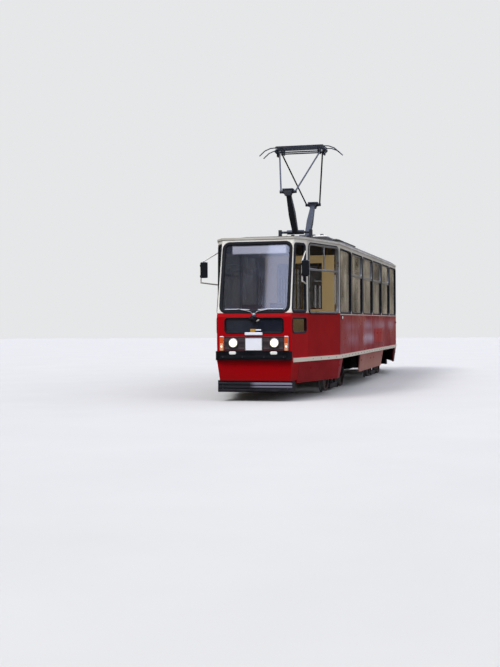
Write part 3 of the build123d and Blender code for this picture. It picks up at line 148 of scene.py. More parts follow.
# House fronts all round are a soft blur, and the sunlit ones behind the car have narrow bays
streets = []
for scales, detail, rough, low, high, dark, light in (
        ((16.0, 16.0, 5.0), 5.0, 0.6, 0.40, 0.62, "#2A2724", "#6A635A"),
        ((800.0, 800.0, 15.0), 2.0, 0.7, 0.40, 0.68, "#181512", "#D2C6B4")):
    along = add_node(tree, "Mapping", {"Vector": toward, "Scale": scales})
    bays = add_node(tree, "TexNoise", {"Scale": 1.0, "Detail": detail, "Roughness": rough, "Vector": along})
    tone = add_node(tree, "MapRange", [bays, low, high])
    streets.append(add_node(tree, "Mix", {0: tone, 6: dark, 7: light}))
behind = add_node(tree, "MapRange", [aim["X"], -0.86, -0.96])
street = add_node(tree, "Mix", {0: behind, 6: streets[0], 7: streets[1]})
ray = add_node(tree, "LightPath").outputs
sky = add_node(tree, "Mix", {0: ray["Is Glossy Ray"], 6: "#E4E6EC", 7: "#C6CFF0"})
above = add_node(tree, "Mix", {0: is_sky, 6: street, 7: sky})
gloss_on_sky = add_node(tree, "Math", [ray["Is Glossy Ray"], is_sky], operation="MULTIPLY")
sky_level = add_node(tree, "MapRange", [gloss_on_sky, 0.0, 1.0, 1.2, 4.4])
lighting = add_node(tree, "Background", {"Color": above, "Strength": sky_level})
showing = add_node(tree, "Background", {"Color": "#E6E7E8", "Strength": 1.0})
chosen = add_node(tree, "MixShader", [ray["Is Camera Ray"], lighting, showing])
add_node(tree, "OutputWorld", [chosen])

sun_data = bpy.data.lights.new("soft_sun", "SUN")
sun_data.energy = 1.6
sun_data.angle = radians(20)
sun = bpy.data.objects.new("soft_sun", sun_data)
sun.rotation_euler = Vector((0.56, -0.34, 0.76)).to_track_quat("Z", "Y").to_euler()
scene.collection.objects.link(sun)
scene.view_settings.view_transform = "Standard"
print("stage ready")

# %% [markdown]
# Most of the car is metal under paint, rubber or dust, so one recipe serves as a start:
# a base colour, soft patches of grime a few hundred millimetres wide, fine grain, a
# roughness that follows the grime, and a shallow bump. Each finish then sets its own
# real sizes and typical values, and the special ones add what makes them different.

# %% Recipe for a weathered surface


def weathered(name, colour, grime, roughness, grain_mm, bump_mm, patch_mm=700, share=0.5,
              metallic=0.0, spread=0.12):
    """A worn surface, as a finish: its material, and the nodes that others build on."""
    material = bpy.data.materials.new(name)
    material.use_nodes = True
    tree = material.node_tree
    place = add_node(tree, "TexCoord").outputs["Object"]
    patches = add_node(tree, "TexNoise", {"Scale": 1000 / patch_mm, "Detail": 7.0, "Roughness": 0.62,
                                          "Vector": place})
    grain = add_node(tree, "TexNoise", {"Scale": 1000 / grain_mm, "Detail": 3.0, "Vector": place})
    dirt = add_node(tree, "MapRange", [patches, 0.42, 0.78, 0.0, share])
    base = add_node(tree, "Mix", {0: dirt, 6: colour, 7: grime})
    shine = add_node(tree, "MapRange", [patches, 0.3, 0.7, max(0.02, roughness - spread),
                                        min(1.0, roughness + spread)])
    bump = add_node(tree, "Bump", {"Strength": 0.5, "Distance": bump_mm / 1000, "Height": grain})
    shader = tree.nodes["Principled BSDF"]
    fill(shader, {"Base Color": base, "Roughness": shine, "Normal": bump, "Metallic": metallic})
    return SimpleNamespace(material=material, tree=tree, shader=shader, place=place, base=base,
                           dirt=dirt, bump=bump, patches=patches)


def recoat(finish, colour, *masks):
    """Lays one more colour over a finish, as much as its masks say when multiplied."""
    share = masks[0]
    for mask in masks[1:]:
        share = add_node(finish.tree, "Math", [share, mask], operation="MULTIPLY")
    finish.base = add_node(finish.tree, "Mix", {0: share, 6: finish.base, 7: colour})
    fill(finish.shader, {"Base Color": finish.base})


# %% [markdown]
# The bodywork is steel sheet with brushed and sprayed alkyd enamel: deep red to the waist
# and cream above it. It is glossy where it was last wiped, chalky in patches, dull and
# brown towards the rails, and rain has drawn thin streaks down it. The two colours meet
# at one height all round, so the height of a point picks its colour.

# %% Body enamel
rail_head = 0.026
paint_line = rail_head + 1.570


def body_enamel(name, red, faded, roughness, chalk, gloss, cream_new="#E8E4DB", cream_old="#B4AEA0"):
    """Two-colour body enamel with road dirt, streaks and slightly uneven sheet."""
    finish = weathered(name, red, faded, roughness, 2.5, 0.05, patch_mm=900, share=chalk)
    tree, place = finish.tree, finish.place
    finish.where = add_node(tree, "SeparateXYZ", [place]).outputs
    height = finish.where["Z"]
    above = add_node(tree, "MapRange", [height, paint_line - 0.001, paint_line + 0.001])
    cream = add_node(tree, "Mix", {0: finish.dirt, 6: cream_new, 7: cream_old})
    recoat(finish, cream, above)
    # Rain streaks are about 12 mm wide and half a metre long
    stretched = add_node(tree, "Mapping", {"Vector": place, "Scale": (80.0, 80.0, 2.0)})
    streaks = add_node(tree, "TexNoise", {"Scale": 1.0, "Detail": 3.0, "Vector": stretched})
    thin = add_node(tree, "MapRange", [streaks, 0.55, 0.8, 0.0, 0.28])
    low = add_node(tree, "MapRange", [height, 0.75, 0.25, 0.0, 0.55])
    road = add_node(tree, "Math", [low, finish.patches], operation="MULTIPLY")
    recoat(finish, "#3B2C26", add_node(tree, "Math", [road, thin], operation="MAXIMUM"))
    # Beaten sheet waves by a fraction of a millimetre over a third of a metre
    waves = add_node(tree, "TexNoise", {"Scale": 3.0, "Detail": 1.0, "Vector": place})
    uneven = add_node(tree, "Bump", {"Strength": 0.35, "Distance": 0.004, "Height": waves,
                                     "Normal": finish.bump})
    fill(finish.shader, {"Normal": uneven, "Specular IOR Level": gloss})
    return finish


fresh_enamel = body_enamel("fresh_red_enamel", "#B0050F", "#6E1418", 0.36, 0.45, 0.08)
chalked_and_sheen_enamel = body_enamel("chalked_red_enamel_painted_sheen", "#A50F1D", "#641C2C", 0.34, 0.55, 0.07)
skirt_enamel = body_enamel("faded_skirt_enamel", "#A80812", "#6E1418", 0.40, 0.45, 0.10)
# Its cream is lighter than the walls' cream: painted light on the front header, which faces the sky
bright_enamel = body_enamel("repainted_red_enamel_lit_cream", "#BC0411", "#8A0A12", 0.36, 0.40, 0.10,
                            "#FFFCF4", "#D9D4C8")
apron_enamel = body_enamel("repainted_apron_enamel", "#BC0411", "#8A0A12", 0.38, 0.40, 0.08)
print("body enamels ready")

# %% [markdown]
# Age has changed the enamel in places, and one mark is painted light. Broad lilac
# patches on the left wall at two heights are painted sheen, laid into the enamel's colour.
# The left skirts between the bogies have faded to pink, and the rear skirts and the rear
# apron turn near black towards the rear end. Each change is one more coat, held to its
# place by masks that read where a point is.

# %% Age and painted sheen on the enamel
tree, where = chalked_and_sheen_enamel.tree, chalked_and_sheen_enamel.where
# Painted sheen: pale lilac clouds laid into the left wall's colour in two bands
wide = add_node(tree, "Mapping", {"Vector": chalked_and_sheen_enamel.place, "Scale": (0.8, 1.0, 0.9)})
clouds = add_node(tree, "TexNoise", {"Scale": 1.0, "Detail": 1.5, "Vector": wide})
painted_sheen_clouds = add_node(tree, "MapRange", [clouds, 0.38, 0.66])
on_left = add_node(tree, "Math", [where["Y"], 0.0], operation="GREATER_THAN")
for middle, half, most, first_x, last_x in ((1.03, 0.18, 0.75, 3.9, -0.1),
                                            (1.31, 0.17, 0.42, 4.3, -4.4)):
    off_line = add_node(tree, "Math", [where["Z"], rail_head + middle], operation="SUBTRACT")
    apart = add_node(tree, "Math", [off_line], operation="ABSOLUTE")
    band = add_node(tree, "MapRange", [apart, half, 0.02, 0.0, most])
    starts = add_node(tree, "MapRange", [where["X"], first_x, first_x - 0.7])
    stops = add_node(tree, "MapRange", [where["X"], last_x - 0.4, last_x + 0.3])
    recoat(chalked_and_sheen_enamel, "#DCC6DC", starts, stops, band, painted_sheen_clouds, on_left)

tree, where = skirt_enamel.tree, skirt_enamel.where
from_middle = add_node(tree, "Math", [where["X"]], operation="ABSOLUTE")
between = add_node(tree, "MapRange", [from_middle, 2.9, 2.6])
downward = add_node(tree, "MapRange", [where["Z"], rail_head + 0.72, rail_head + 0.40, 0.40, 0.92])
on_left = add_node(tree, "Math", [where["Y"], 0.0], operation="GREATER_THAN")
recoat(skirt_enamel, "#CB9182", between, downward, on_left)
# Towards the rear end the skirts and the apron turn near black
for enamel, from_x, to_x, most, rear_black in ((skirt_enamel, -4.2, -4.5, 0.94, "#161313"),
                                         (apron_enamel, -5.0, -5.3, 1.0, "#1A1514")):
    rear = add_node(enamel.tree, "MapRange", [enamel.where["X"], from_x, to_x, 0.0, most])
    recoat(enamel, rear_black, rear)
print("aged enamels ready")

# %% [markdown]
# The trim along the walls and the tubes of the mirrors are cream, and the vent on the
# roof is white. The roof itself is dark grey, and only the gutter all round its foot is
# cream, like the walls under it.

# %% Cream, vent and roof enamels
cream_enamel = weathered("cream_enamel", "#E6E2D9", "#A59F92", 0.38, 3.0, 0.05, share=0.45)
# The rub strips' cream is near white, lighter than the walls' cream: painted light on strips that face the
# open street
lit_strip_enamel = weathered("cream_rub_strip_enamel", "#FDF3E2", "#E2D0B8", 0.36, 3.0, 0.05, share=0.30)
vent_enamel = weathered("white_vent_enamel", "#F2F1F0", "#C8C6C2", 0.42, 3.0, 0.05, share=0.25)
roof_enamel = weathered("roof_enamel", "#5C5A55", "#33312E", 0.62, 3.0, 0.10, share=0.75)
gutter_top = rail_head + 2.951
tree = roof_enamel.tree
height = add_node(tree, "SeparateXYZ", [roof_enamel.place]).outputs["Z"]
on_gutter = add_node(tree, "Math", [height, gutter_top], operation="LESS_THAN")
gutter_cream = add_node(tree, "Mix", {0: roof_enamel.dirt, 6: "#E8E4DB", 7: "#A8A296"})
recoat(roof_enamel, gutter_cream, on_gutter)
print("cream and roof enamels ready")

# %% [markdown]
# Under the floor everything is steel and iron with brake dust: brown-black, matte and
# grainy. The wheels are forged steel, dull brown on their faces and bright only where
# they roll, so their colour follows the distance from the axle, read in the piece's own
# box from 0 to 1, where the axle is at one half.

# %% Chassis, castings and wheels
underseal = weathered("black_underseal", "#131211", "#3A3028", 0.78, 5.0, 0.6, share=0.6)
cast_iron = weathered("dusty_cast_steel", "#1B1714", "#43342A", 0.80, 4.0, 0.5, patch_mm=260, share=0.7,
                      metallic=0.3)
tread_plate = weathered("worn_tread_plate", "#7B7A76", "#3C3833", 0.45, 1.2, 0.08, patch_mm=150, share=0.7,
                        metallic=0.9)
# The step plates have pressed lugs, about 36 mm apart and 1.5 mm high
lugs = add_node(tread_plate.tree, "TexVoronoi", {"Scale": 28.0, "Vector": tread_plate.place})
raised = add_node(tread_plate.tree, "Bump", {"Strength": 0.6, "Distance": 0.0015, "Height": lugs,
                                             "Normal": tread_plate.bump})
fill(tread_plate.shader, {"Normal": raised})

wheel_steel = weathered("forged_wheel_steel", "#3A312B", "#6A4B35", 0.62, 3.0, 0.2, patch_mm=120, share=0.6,
                        metallic=0.75)
tree = wheel_steel.tree
boxed = add_node(tree, "TexCoord").outputs["Generated"]
centred = add_node(tree, "VectorMath", [boxed, (-0.5, -0.5, -0.5)], operation="ADD")
radial = add_node(tree, "VectorMath", [centred, (1.0, 0.0, 1.0)], operation="MULTIPLY")
from_axle = add_node(tree, "VectorMath", [radial], operation="LENGTH").outputs["Value"]
tread_from, tread_to = 0.458, 0.463
rolled = add_node(tree, "MapRange", [from_axle, tread_from, tread_to])
recoat(wheel_steel, "#B9B7B3", rolled)
polish = add_node(tree, "MapRange", [rolled, 0.0, 1.0, 0.62, 0.22])
fill(wheel_steel.shader, {"Roughness": polish})
print("chassis finishes ready")

# %% [markdown]
# Rubber, moulded plastics and sheet metals follow. EPDM window rubber is matte and greys
# with dust. The lamp panel is ribbed aluminium with brown-grey paint. Anodised aluminium
# window frames are pale and soft in their shine. The seats are red glass-fibre shells.
# The lit sign glows from its lamps. The white boards, the lamp housing and the yellow wall
# behind the cab glow a little as well, and that glow is painted light.

# %% Trim finishes
window_rubber = weathered("epdm_window_rubber", "#0C0D10", "#2A2A2A", 0.62, 1.5, 0.05, share=0.35)
bumper_paint = weathered("black_bumper_enamel", "#08090C", "#24232A", 0.42, 2.0, 0.12, patch_mm=220)
for finish in (window_rubber, bumper_paint):
    fill(finish.shader, {"Specular IOR Level": 0.15})
lamp_panel_paint = weathered("ribbed_panel_paint", "#3A302F", "#221D1D", 0.50, 2.0, 0.05, patch_mm=180,
                             share=0.6)
rib_paint = weathered("rubbed_rib_paint", "#7C6462", "#3A2E2E", 0.50, 2.0, 0.05, patch_mm=120, share=0.8)
aluminium = weathered("anodised_aluminium", "#A9AAA6", "#6D6A64", 0.36, 0.8, 0.02, patch_mm=240,
                      metallic=0.85)
bolt_steel = weathered("painted_bolt_heads", "#3A3736", "#1F1C1B", 0.50, 1.0, 0.05, patch_mm=40,
                       metallic=0.5)
sign_glow = weathered("lit_sign_face", "#E6E8EE", "#C9CAD4", 0.45, 1.5, 0.02, patch_mm=120)
glowing_board_enamel = weathered("white_sign_enamel", "#E6E8EE", "#B6B4B2", 0.40, 1.5, 0.02, patch_mm=160,
                         share=0.3)
laminate = weathered("yellow_wall_laminate", "#EBCB8E", "#C29F64", 0.45, 1.5, 0.03, patch_mm=350,
                     share=0.4)
# The sign's glow is its lamp; the glow of the boards, the lamp housing and the cab wall is painted light
for finish, glow_colour, glow in ((sign_glow, "#DADDF2", 2.2), (glowing_board_enamel, "#DDE0F0", 0.35),
                                  (laminate, "#EBCB8E", 0.24)):
    fill(finish.shader, {"Emission Color": glow_colour, "Emission Strength": glow})
seat_shell = weathered("red_glass_fibre", "#8E1C1C", "#4A1614", 0.38, 1.0, 0.05, patch_mm=200)
desk_plastic = weathered("grained_desk_plastic", "#1E1F22", "#45454A", 0.55, 1.2, 0.15, patch_mm=160,
                         share=0.4)
yellow_enamel = weathered("yellow_rail_enamel", "#C9A23A", "#7A6128", 0.32, 1.0, 0.02, patch_mm=120)
pole_paint = weathered("dark_pantograph_paint", "#23272E", "#4B4A48", 0.50, 1.0, 0.08, patch_mm=140,
                       metallic=0.35)
carbon = weathered("sliding_carbon", "#2A2A2C", "#76736E", 0.45, 0.8, 0.05, patch_mm=60, share=0.6,
                   metallic=0.2)
porcelain = weathered("brown_glazed_porcelain", "#4A2417", "#2A1710", 0.15, 6.0, 0.05, patch_mm=60)
yellow_plastic = weathered("yellow_lamp_plastic", "#D6A12A", "#8F6A1E", 0.40, 1.0, 0.02, patch_mm=40,
                           share=0.4)

# The left half of the guards' upper slats carries a painted highlight in pale lavender
highlit_slat_paint = weathered("guard_slats_painted_highlight", "#0B0B0E", "#2E2C33", 0.40, 2.0, 0.10, patch_mm=200)
tree = highlit_slat_paint.tree
where = add_node(tree, "SeparateXYZ", [highlit_slat_paint.place]).outputs
highlight_side = add_node(tree, "MapRange", [where["Y"], -0.10, 0.02])
highlight_height = add_node(tree, "MapRange", [where["Z"], rail_head + 0.20, rail_head + 0.26])
recoat(highlit_slat_paint, "#9490A2", highlight_side, highlight_height)

# The aisle's covering has ribs 8 mm apart, drawn 24 mm apart so that they show
floor_covering = weathered("ribbed_floor_rubber", "#3A322B", "#1D1A17", 0.70, 1.0, 0.1, patch_mm=300,
                           share=0.6)
tree = floor_covering.tree
ribs = add_node(tree, "TexWave", {"Scale": 13.0, "Vector": floor_covering.place}, bands_direction="Y")
ribbed = add_node(tree, "Bump", {"Strength": 0.5, "Distance": 0.002, "Height": ribs,
                                 "Normal": floor_covering.bump})
fill(floor_covering.shader, {"Normal": ribbed})
print("trim finishes ready")

# %% [markdown]
# Window glass is float glass with a film of dust. It is nearly clear when it is looked at
# squarely, and mirrors its surroundings at a slant, so its cover grows with the angle of
# view, which a Layer Weight node gives. Each pane has two surfaces that mirror, so a
# coat stands for the second. The dust film is drawn as faint pale patches, and on the
# windscreen these patches and its tint are bluish, as painted sky reflection.

# %% Glass
cab_from_x, cab_from_z = 4.63, rail_head + 1.5


def window_glass(name, tint, haze_and_reflection, clear, covered, washed=1.0):
    """Pane glass: clear and covered are how much the pane hides, squarely and at a slant."""
    finish = weathered(name, tint, haze_and_reflection, 0.04, 60.0, 0.004, patch_mm=420, share=0.8, spread=0.02)
    tree = finish.tree
    slant = add_node(tree, "LayerWeight", {"Blend": 0.35}).outputs["Facing"]
    cover = add_node(tree, "MapRange", [slant, 0.0, 1.0, clear, covered])
    # The driver's own panes, ahead and high, are washed more often and show more of the cab
    where = add_node(tree, "SeparateXYZ", [finish.place]).outputs
    ahead = add_node(tree, "Math", [where["X"], cab_from_x], operation="GREATER_THAN")
    high = add_node(tree, "Math", [where["Z"], cab_from_z], operation="GREATER_THAN")
    both = add_node(tree, "Math", [ahead, high], operation="MULTIPLY")
    wash = add_node(tree, "MapRange", [both, 0.0, 1.0, 1.0, washed])
    hiding = add_node(tree, "Math", [cover, wash], operation="MULTIPLY")
    fill(finish.shader, {"Alpha": hiding, "IOR": 1.52, "Specular IOR Level": 1.0, "Coat Weight": 1.0,
                         "Coat IOR": 1.52, "Coat Roughness": 0.02})
    return finish


# On the windscreen the bluish tint and the pale bluish patches are painted sky reflection, over a film of
# dust
laminated_glass = window_glass("laminated_screen_glass", "#2A3040", "#4A5268", 0.55, 0.97)
tempered_glass = window_glass("tempered_window_glass", "#0B0D0E", "#2A2E30", 0.10, 1.0, 0.40)
mirror_glass = weathered("silvered_mirror_glass", "#C8CDD2", "#9AA0A6", 0.05, 10.0, 0.01, share=0.3,
                         metallic=1.0, spread=0.02)
print("glass ready")

# %% [markdown]
# A lamp's lens is acrylic or pressed glass with upright ribs inside, which spread the
# light. The ribs are a wave in the bump, and the lamp behind is a weak glow of the lens.

# %% Lenses


def lit_lens(name, colour, glow_colour, glow, ribs_mm):
    """Moulded lamp lens with pressed ribs; glow is how brightly the lamp behind it shines."""
    finish = weathered(name, colour, glow_colour, 0.18, 3.0, 0.05, patch_mm=60)
    # A wave's scale counts its repeats in about 314 mm
    pressed = add_node(finish.tree, "TexWave", {"Scale": 1000 / ribs_mm / 3.14, "Vector": finish.place},
                       bands_direction="Y")
    ridges = add_node(finish.tree, "Bump", {"Strength": 0.6, "Distance": 0.002, "Height": pressed})
    fill(finish.shader, {"Normal": ridges, "Emission Color": glow_colour, "Emission Strength": glow,
                         "IOR": 1.49})
    return finish


headlamp_glass = lit_lens("lit_headlamp_glass", "#F4EBD6", "#FFF4DC", 1.3, 9)
clear_lens = lit_lens("clear_marker_lens", "#E4E4DE", "#FFFFFF", 0.25, 7)
amber_lens = lit_lens("amber_acrylic", "#CC4A1C", "#FF6A2A", 0.22, 8)
pale_amber_lens = lit_lens("faded_amber_acrylic", "#E0A27E", "#FFB48A", 0.22, 8)
red_lens = lit_lens("red_acrylic", "#8E0F12", "#FF3020", 0.12, 8)
# One CAD node holds the amber lamps in front and the red ones behind
signal_lens = lit_lens("amber_and_red_acrylic", "#C9763A", "#FF9A4A", 0.25, 8)
tree = signal_lens.tree
along_car = add_node(tree, "SeparateXYZ", [signal_lens.place]).outputs["X"]
at_front = add_node(tree, "Math", [along_car, 0.0], operation="GREATER_THAN")
two_colours = add_node(tree, "Mix", {0: at_front, 6: "#8E0F12", 7: "#D0642E"})
fill(signal_lens.shader, {"Base Color": two_colours})
print("lenses ready")

# %% [markdown]
# Each CAD node now gets its finish by its name. The car's left side is one long wall
# whose enamel has chalked, between cab panels that were painted later.

# %% Finishes on the CAD nodes
finish_of = {
    "left_side_wall": chalked_and_sheen_enamel, "right_side_wall": chalked_and_sheen_enamel, "skirts": skirt_enamel,
    "front_end": bright_enamel, "end_aprons": apron_enamel, "roof": roof_enamel, "roof_boxes": roof_enamel,
    "rub_strips": lit_strip_enamel, "mirrors": cream_enamel, "bumpers": bumper_paint,
    "lifeguards": bumper_paint, "lamp_panel": lamp_panel_paint, "headlamps": headlamp_glass,
    "signal_lamps": signal_lens, "boards": glowing_board_enamel, "end_windows": laminated_glass,
    "side_windows": tempered_glass, "seats": seat_shell, "control_desk": desk_plastic,
    "cab_partition": laminate, "handrails": yellow_enamel, "floor": floor_covering,
    "door_steps": tread_plate, "underframe": underseal, "cross_members": underseal,
    "equipment_boxes": underseal, "coupler_yoke": cast_iron, "pantograph_base": pole_paint,
    "pantograph_head": pole_paint,
}
for name, thing in nodes.items():
    if name.startswith("wheelset"):
        finish = wheel_steel
    elif name.endswith(("bogie_frame", "motors")):
        finish = cast_iron
    elif name.endswith("_arm"):
        finish = pole_paint
    else:
        finish = finish_of.get(name, fresh_enamel)
    for slot in thing.material_slots:
        slot.material = finish.material
print("finished", len(nodes), "CAD nodes")

# %% [markdown]
# Four kinds of shape make every added piece: a slab with rounded corners and chamfered
# edges, a closed ring that follows an opening, a turned form, and a section swept along
# a path. Each returns points and faces, and one function makes a piece out of a list of
# them, so that a hundred bolt heads are one piece.

# %% Frames and outlines


def wall_frame(x, y, facing):
    """Upright frame at (x, y) that faces out in a direction in degrees: origin, along, up, out."""
    out = Vector((cos(radians(facing)), sin(radians(facing)), 0.0))
    return Vector((x, y, 0.0)), Vector((-out.y, out.x, 0.0)), Vector((0.0, 0.0, 1.0)), out


def at(place, along, height, out=0.0):
    """Point in a frame, or on a twisted wall that is given as a function."""
    if callable(place):
        return place(along, height, out)
    return place[0] + place[1] * along + place[2] * height + place[3] * out


def rectangle(along, height, width, tall):
    """Corners of an upright rectangle about its middle."""
    return [(along + x * width / 2, height + y * tall / 2) for x, y in ((-1, -1), (1, -1), (1, 1), (-1, 1))]


def rounded(corners, radius, grow, steps=5):
    """Outline with rounded corners, grown outward by a distance."""
    corners = [Vector(c) for c in corners]
    if sum(a.x * b.y - b.x * a.y for a, b in zip(corners, corners[1:] + corners[:1])) < 0:
        corners.reverse()
    outline = []
    for i, here in enumerate(corners):
        before, after = corners[i - 1], corners[(i + 1) % len(corners)]
        first, second = (here - before).normalized(), (after - here).normalized()
        start = atan2(-first.x, first.y)
        turn = (atan2(-second.x, second.y) - start) % (2 * pi)
        middle = here + (second - first).normalized() * radius / cos(turn / 2)
        for step in range(steps + 1):
            angle = start + turn * step / steps
            outline.append(middle + Vector((cos(angle), sin(angle))) * (radius + grow))
    return outline


print("outlines ready")

# %% Shapes


def ladder(loops, closed=False):
    """Faces between loops of equal length. An open row gets caps, a closed one meets itself."""
    count, last = len(loops[0]), len(loops) - 1
    faces = []
    for row in range(last + closed):
        low, high = row * count, ((row + 1) % len(loops)) * count
        faces += [(low + i, low + (i + 1) % count, high + (i + 1) % count, high + i) for i in range(count)]
    if not closed:
        faces += [tuple(range(count)), tuple(range(last * count, (last + 1) * count))]
    return [p for loop in loops for p in loop], faces


def ring(place, corners, radius, section, closed=True):
    """Closed ring along an opening; section lists (distance outside the edge, depth)."""
    return ladder([[at(place, p.x, p.y, depth) for p in rounded(corners, radius, grow)]
                   for grow, depth in section], closed)


def slab(place, corners, radius, back, front, chamfer=0.002):
    """Plate, block or lens between two depths, with chamfered edges."""
    return ring(place, corners, radius, [(-chamfer, back), (0.0, back + chamfer), (0.0, front - chamfer),
                                         (-chamfer, front)], closed=False)


def turned(origin, axis, profile, steps):
    """Form turned about an axis; profile lists (distance along, radius)."""
    axis = Vector(axis).normalized()
    side = axis.orthogonal().normalized()
    other = axis.cross(side)
    spokes = [side * cos(2 * pi * i / steps) + other * sin(2 * pi * i / steps) for i in range(steps)]
    return ladder([[Vector(origin) + axis * along + spoke * radius for spoke in spokes]
                   for along, radius in profile])


def swept(path, half_width, half_height=None, sides=10):
    """Round or flattened bar along a path of points."""
    path = [Vector(p) for p in path]
    half_height = half_height or half_width
    loops, side = [], None
    for i, here in enumerate(path):
        run = (path[min(i + 1, len(path) - 1)] - path[max(i - 1, 0)]).normalized()
        side = (side - run * side.dot(run)).normalized() if side else run.orthogonal().normalized()
        lift = run.cross(side)
        turns = [2 * pi * k / sides for k in range(sides)]
        loops.append([here + side * half_width * cos(a) + lift * half_height * sin(a) for a in turns])
    return ladder(loops)


def rounded_path(points, radius, steps=6):
    """Path of straight runs whose corners are rounded."""
    points = [Vector(p) for p in points]
    path = [points[0]]
    for before, here, after in zip(points, points[1:], points[2:]):
        back, ahead = (before - here).normalized(), (after - here).normalized()
        reach = radius / tan(back.angle(ahead) / 2)
        start, end = here + back * reach, here + ahead * reach
        for t in [k / steps for k in range(steps + 1)]:
            path.append(start.lerp(here, t).lerp(here.lerp(end, t), t))
    return path + [points[-1]]


pieces = []


def make(name, finish, shapes, body="car_body", sharp_degrees=32):
    """Makes one piece of several shapes, and puts it on its body."""
    points, faces = [], []
    for shape_points, shape_faces in shapes:
        faces += [tuple(i + len(points) for i in face) for face in shape_faces]
        points += [tuple(p) for p in shape_points]
    mesh = bpy.data.meshes.new(name)
    mesh.from_pydata(points, [], faces)
    work = bmesh.new()
    work.from_mesh(mesh)
    bmesh.ops.recalc_face_normals(work, faces=work.faces)
    for face in work.faces:
        face.smooth = True
    for edge in work.edges:
        edge.smooth = len(edge.link_faces) == 2 and edge.calc_face_angle() < radians(sharp_degrees)
    work.to_mesh(mesh)
    work.free()
    mesh.materials.append(finish.material)
    piece = bpy.data.objects.new(name, mesh)
    scene.collection.objects.link(piece)
    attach(piece, body)
    pieces.append(piece)


print("shape makers ready")

# %% [markdown]
# The added pieces sit on the CAD walls, so the wall's sizes are repeated here in metres.
# The plan tapers towards both ends, the end walls lean back above the waist, and ahead
# of each corner pillar the cheek twists as it rises to meet the leaning end.

# %% Sizes of the body
half_length, half_width = 6.75, 1.2
end_half_width, end_top_half_width = 0.69, 0.668
leaf_width, post_gap, fold_gap, centre_gap = 0.3, 0.006, 0.006, 0.02
doorway_width = 4 * leaf_width + 2 * post_gap + 2 * fold_gap + centre_gap
cheek_length, door_post = 0.684, 0.131
quarter_length = doorway_width + 2 * door_post
taper = asin((half_width - end_half_width) / (quarter_length + cheek_length))
corner_pillar_x = half_length - cheek_length * cos(taper)
taper_start = corner_pillar_x - quarter_length * cos(taper)
rake_base, eave = rail_head + 1.5, rail_head + 2.90
rake_run = 0.34
rake = atan2(rake_run, eave - rake_base)
waist, glass_top = rail_head + 1.575, rail_head + 2.835
wall = 0.05
print("rake", round(degrees(rake), 1), "taper", round(degrees(taper), 1))

# %% Walls of the body


def taper_y(x):
    """Half width of the body at a distance along it."""
    return half_width - max(0.0, abs(x) - taper_start) * tan(taper)


def leaning_frame(end):
    """Frame on the raked end wall, with its origin at the foot of the rake."""
    out = Vector((end * cos(rake), 0.0, sin(rake)))
    up_wall = Vector((-end * sin(rake), 0.0, cos(rake)))
    return Vector((end * half_length, 0.0, rake_base)), up_wall.cross(out), up_wall, out


def twisted_cheek(place, x_sign, side):
    """The cheek above the rake's foot, as a function like a frame: along, height, out."""
    def point(along, height, out=0.0):
        lean = max(0.0, (height - rake_base) / (eave - rake_base))
        end_y = end_half_width + lean * (end_top_half_width - end_half_width)
        pillar_edge = Vector((x_sign * corner_pillar_x, side * taper_y(corner_pillar_x), height))
        front_edge = Vector((x_sign * (half_length - lean * rake_run), side * end_y, height))
        run = front_edge - pillar_edge
        start = at(place, along, height)
        reach = (start - pillar_edge).cross(place[3]).z / run.cross(place[3]).z
        outward = Vector((run.y, -run.x, 0.0)).normalized()
        if outward.dot(place[3]) < 0:
            outward.negate()
        return pillar_edge + run * reach + outward * out
    return point


quarter_x, cheek_x = (taper_start + corner_pillar_x) / 2, (corner_pillar_x + half_length) / 2
left_wall, right_wall = wall_frame(0.0, half_width, 90), wall_frame(0.0, -half_width, -90)
nose, tail = wall_frame(half_length, 0.0, 0), wall_frame(-half_length, 0.0, 180)
quarters, cheeks, twisted = {}, {}, {}
for key, x_sign, side in (("left_front", 1, 1), ("left_rear", -1, 1),
                          ("right_front", 1, -1), ("right_rear", -1, -1)):
    facing = side * (90 - x_sign * degrees(taper))
    quarters[key] = wall_frame(x_sign * quarter_x, side * taper_y(quarter_x), facing)
    cheeks[key] = wall_frame(x_sign * cheek_x, side * taper_y(cheek_x), facing)
    twisted[key] = twisted_cheek(cheeks[key], x_sign, side)
print("walls", 4 + len(quarters) + len(cheeks))

# %% [markdown]
# Each pane is held by a black rubber section: a flat lip on the sheet outside, a rounded
# crown, and a lip that folds in over the glass. One ring per opening does this, and its
# section is six points. The rear and side rubbers are narrower than the windscreen's.

# %% Windows and their rubber sections
pitch, pillar = 1.58, 0.09
window_middle, window_tall = (waist + glass_top) / 2, glass_top - waist
end_bay, end_bay_x = taper_start - 2 * pitch, (taper_start + 2 * pitch) / 2
drop_windows = [(k * pitch, pitch - pillar) for k in (-1.5, -0.5, 0.5, 1.5)]
left_windows = [(-end_bay_x, end_bay - pillar), *drop_windows, (end_bay_x, end_bay - pillar)]
inner_door_x = 1.04
door_edge, door_inner_edge = inner_door_x + doorway_width / 2, inner_door_x - doorway_width / 2
right_bay = (taper_start - door_edge) / 2
right_windows = [(sign * (door_edge + k * right_bay), right_bay - pillar)
                 for sign in (-1, 1) for k in (1.5, 0.5)] + [(0.0, 2 * door_inner_edge - pillar)]
quarter_window = quarter_length - 1.7 * pillar
corner_radius = 0.08
narrow_rubber = [(0.012, 0), (0.010, 0.006), (0.0, 0.009), (-0.014, 0.004), (-0.018, -0.022), (0, -0.024)]
wide_rubber = [(0.027, 0), (0.024, 0.009), (0.0, 0.013), (-0.030, 0.006), (-0.038, -0.020), (0, -0.024)]
quarter_rubber = [(0.036, 0), (0.033, 0.007), (0.016, 0.009), (-0.014, 0.004), (-0.018, -0.022),
                  (0, -0.024)]
corner_rubber = [(0.012, 0), (0.010, 0.008), (-0.012, 0.012), (-0.042, 0.006), (-0.054, -0.020),
                 (0, -0.024)]
low_middle, low_tall, low_radius = rail_head + 1.343, 0.266, 0.055
print("side windows", len(left_windows) + len(right_windows))

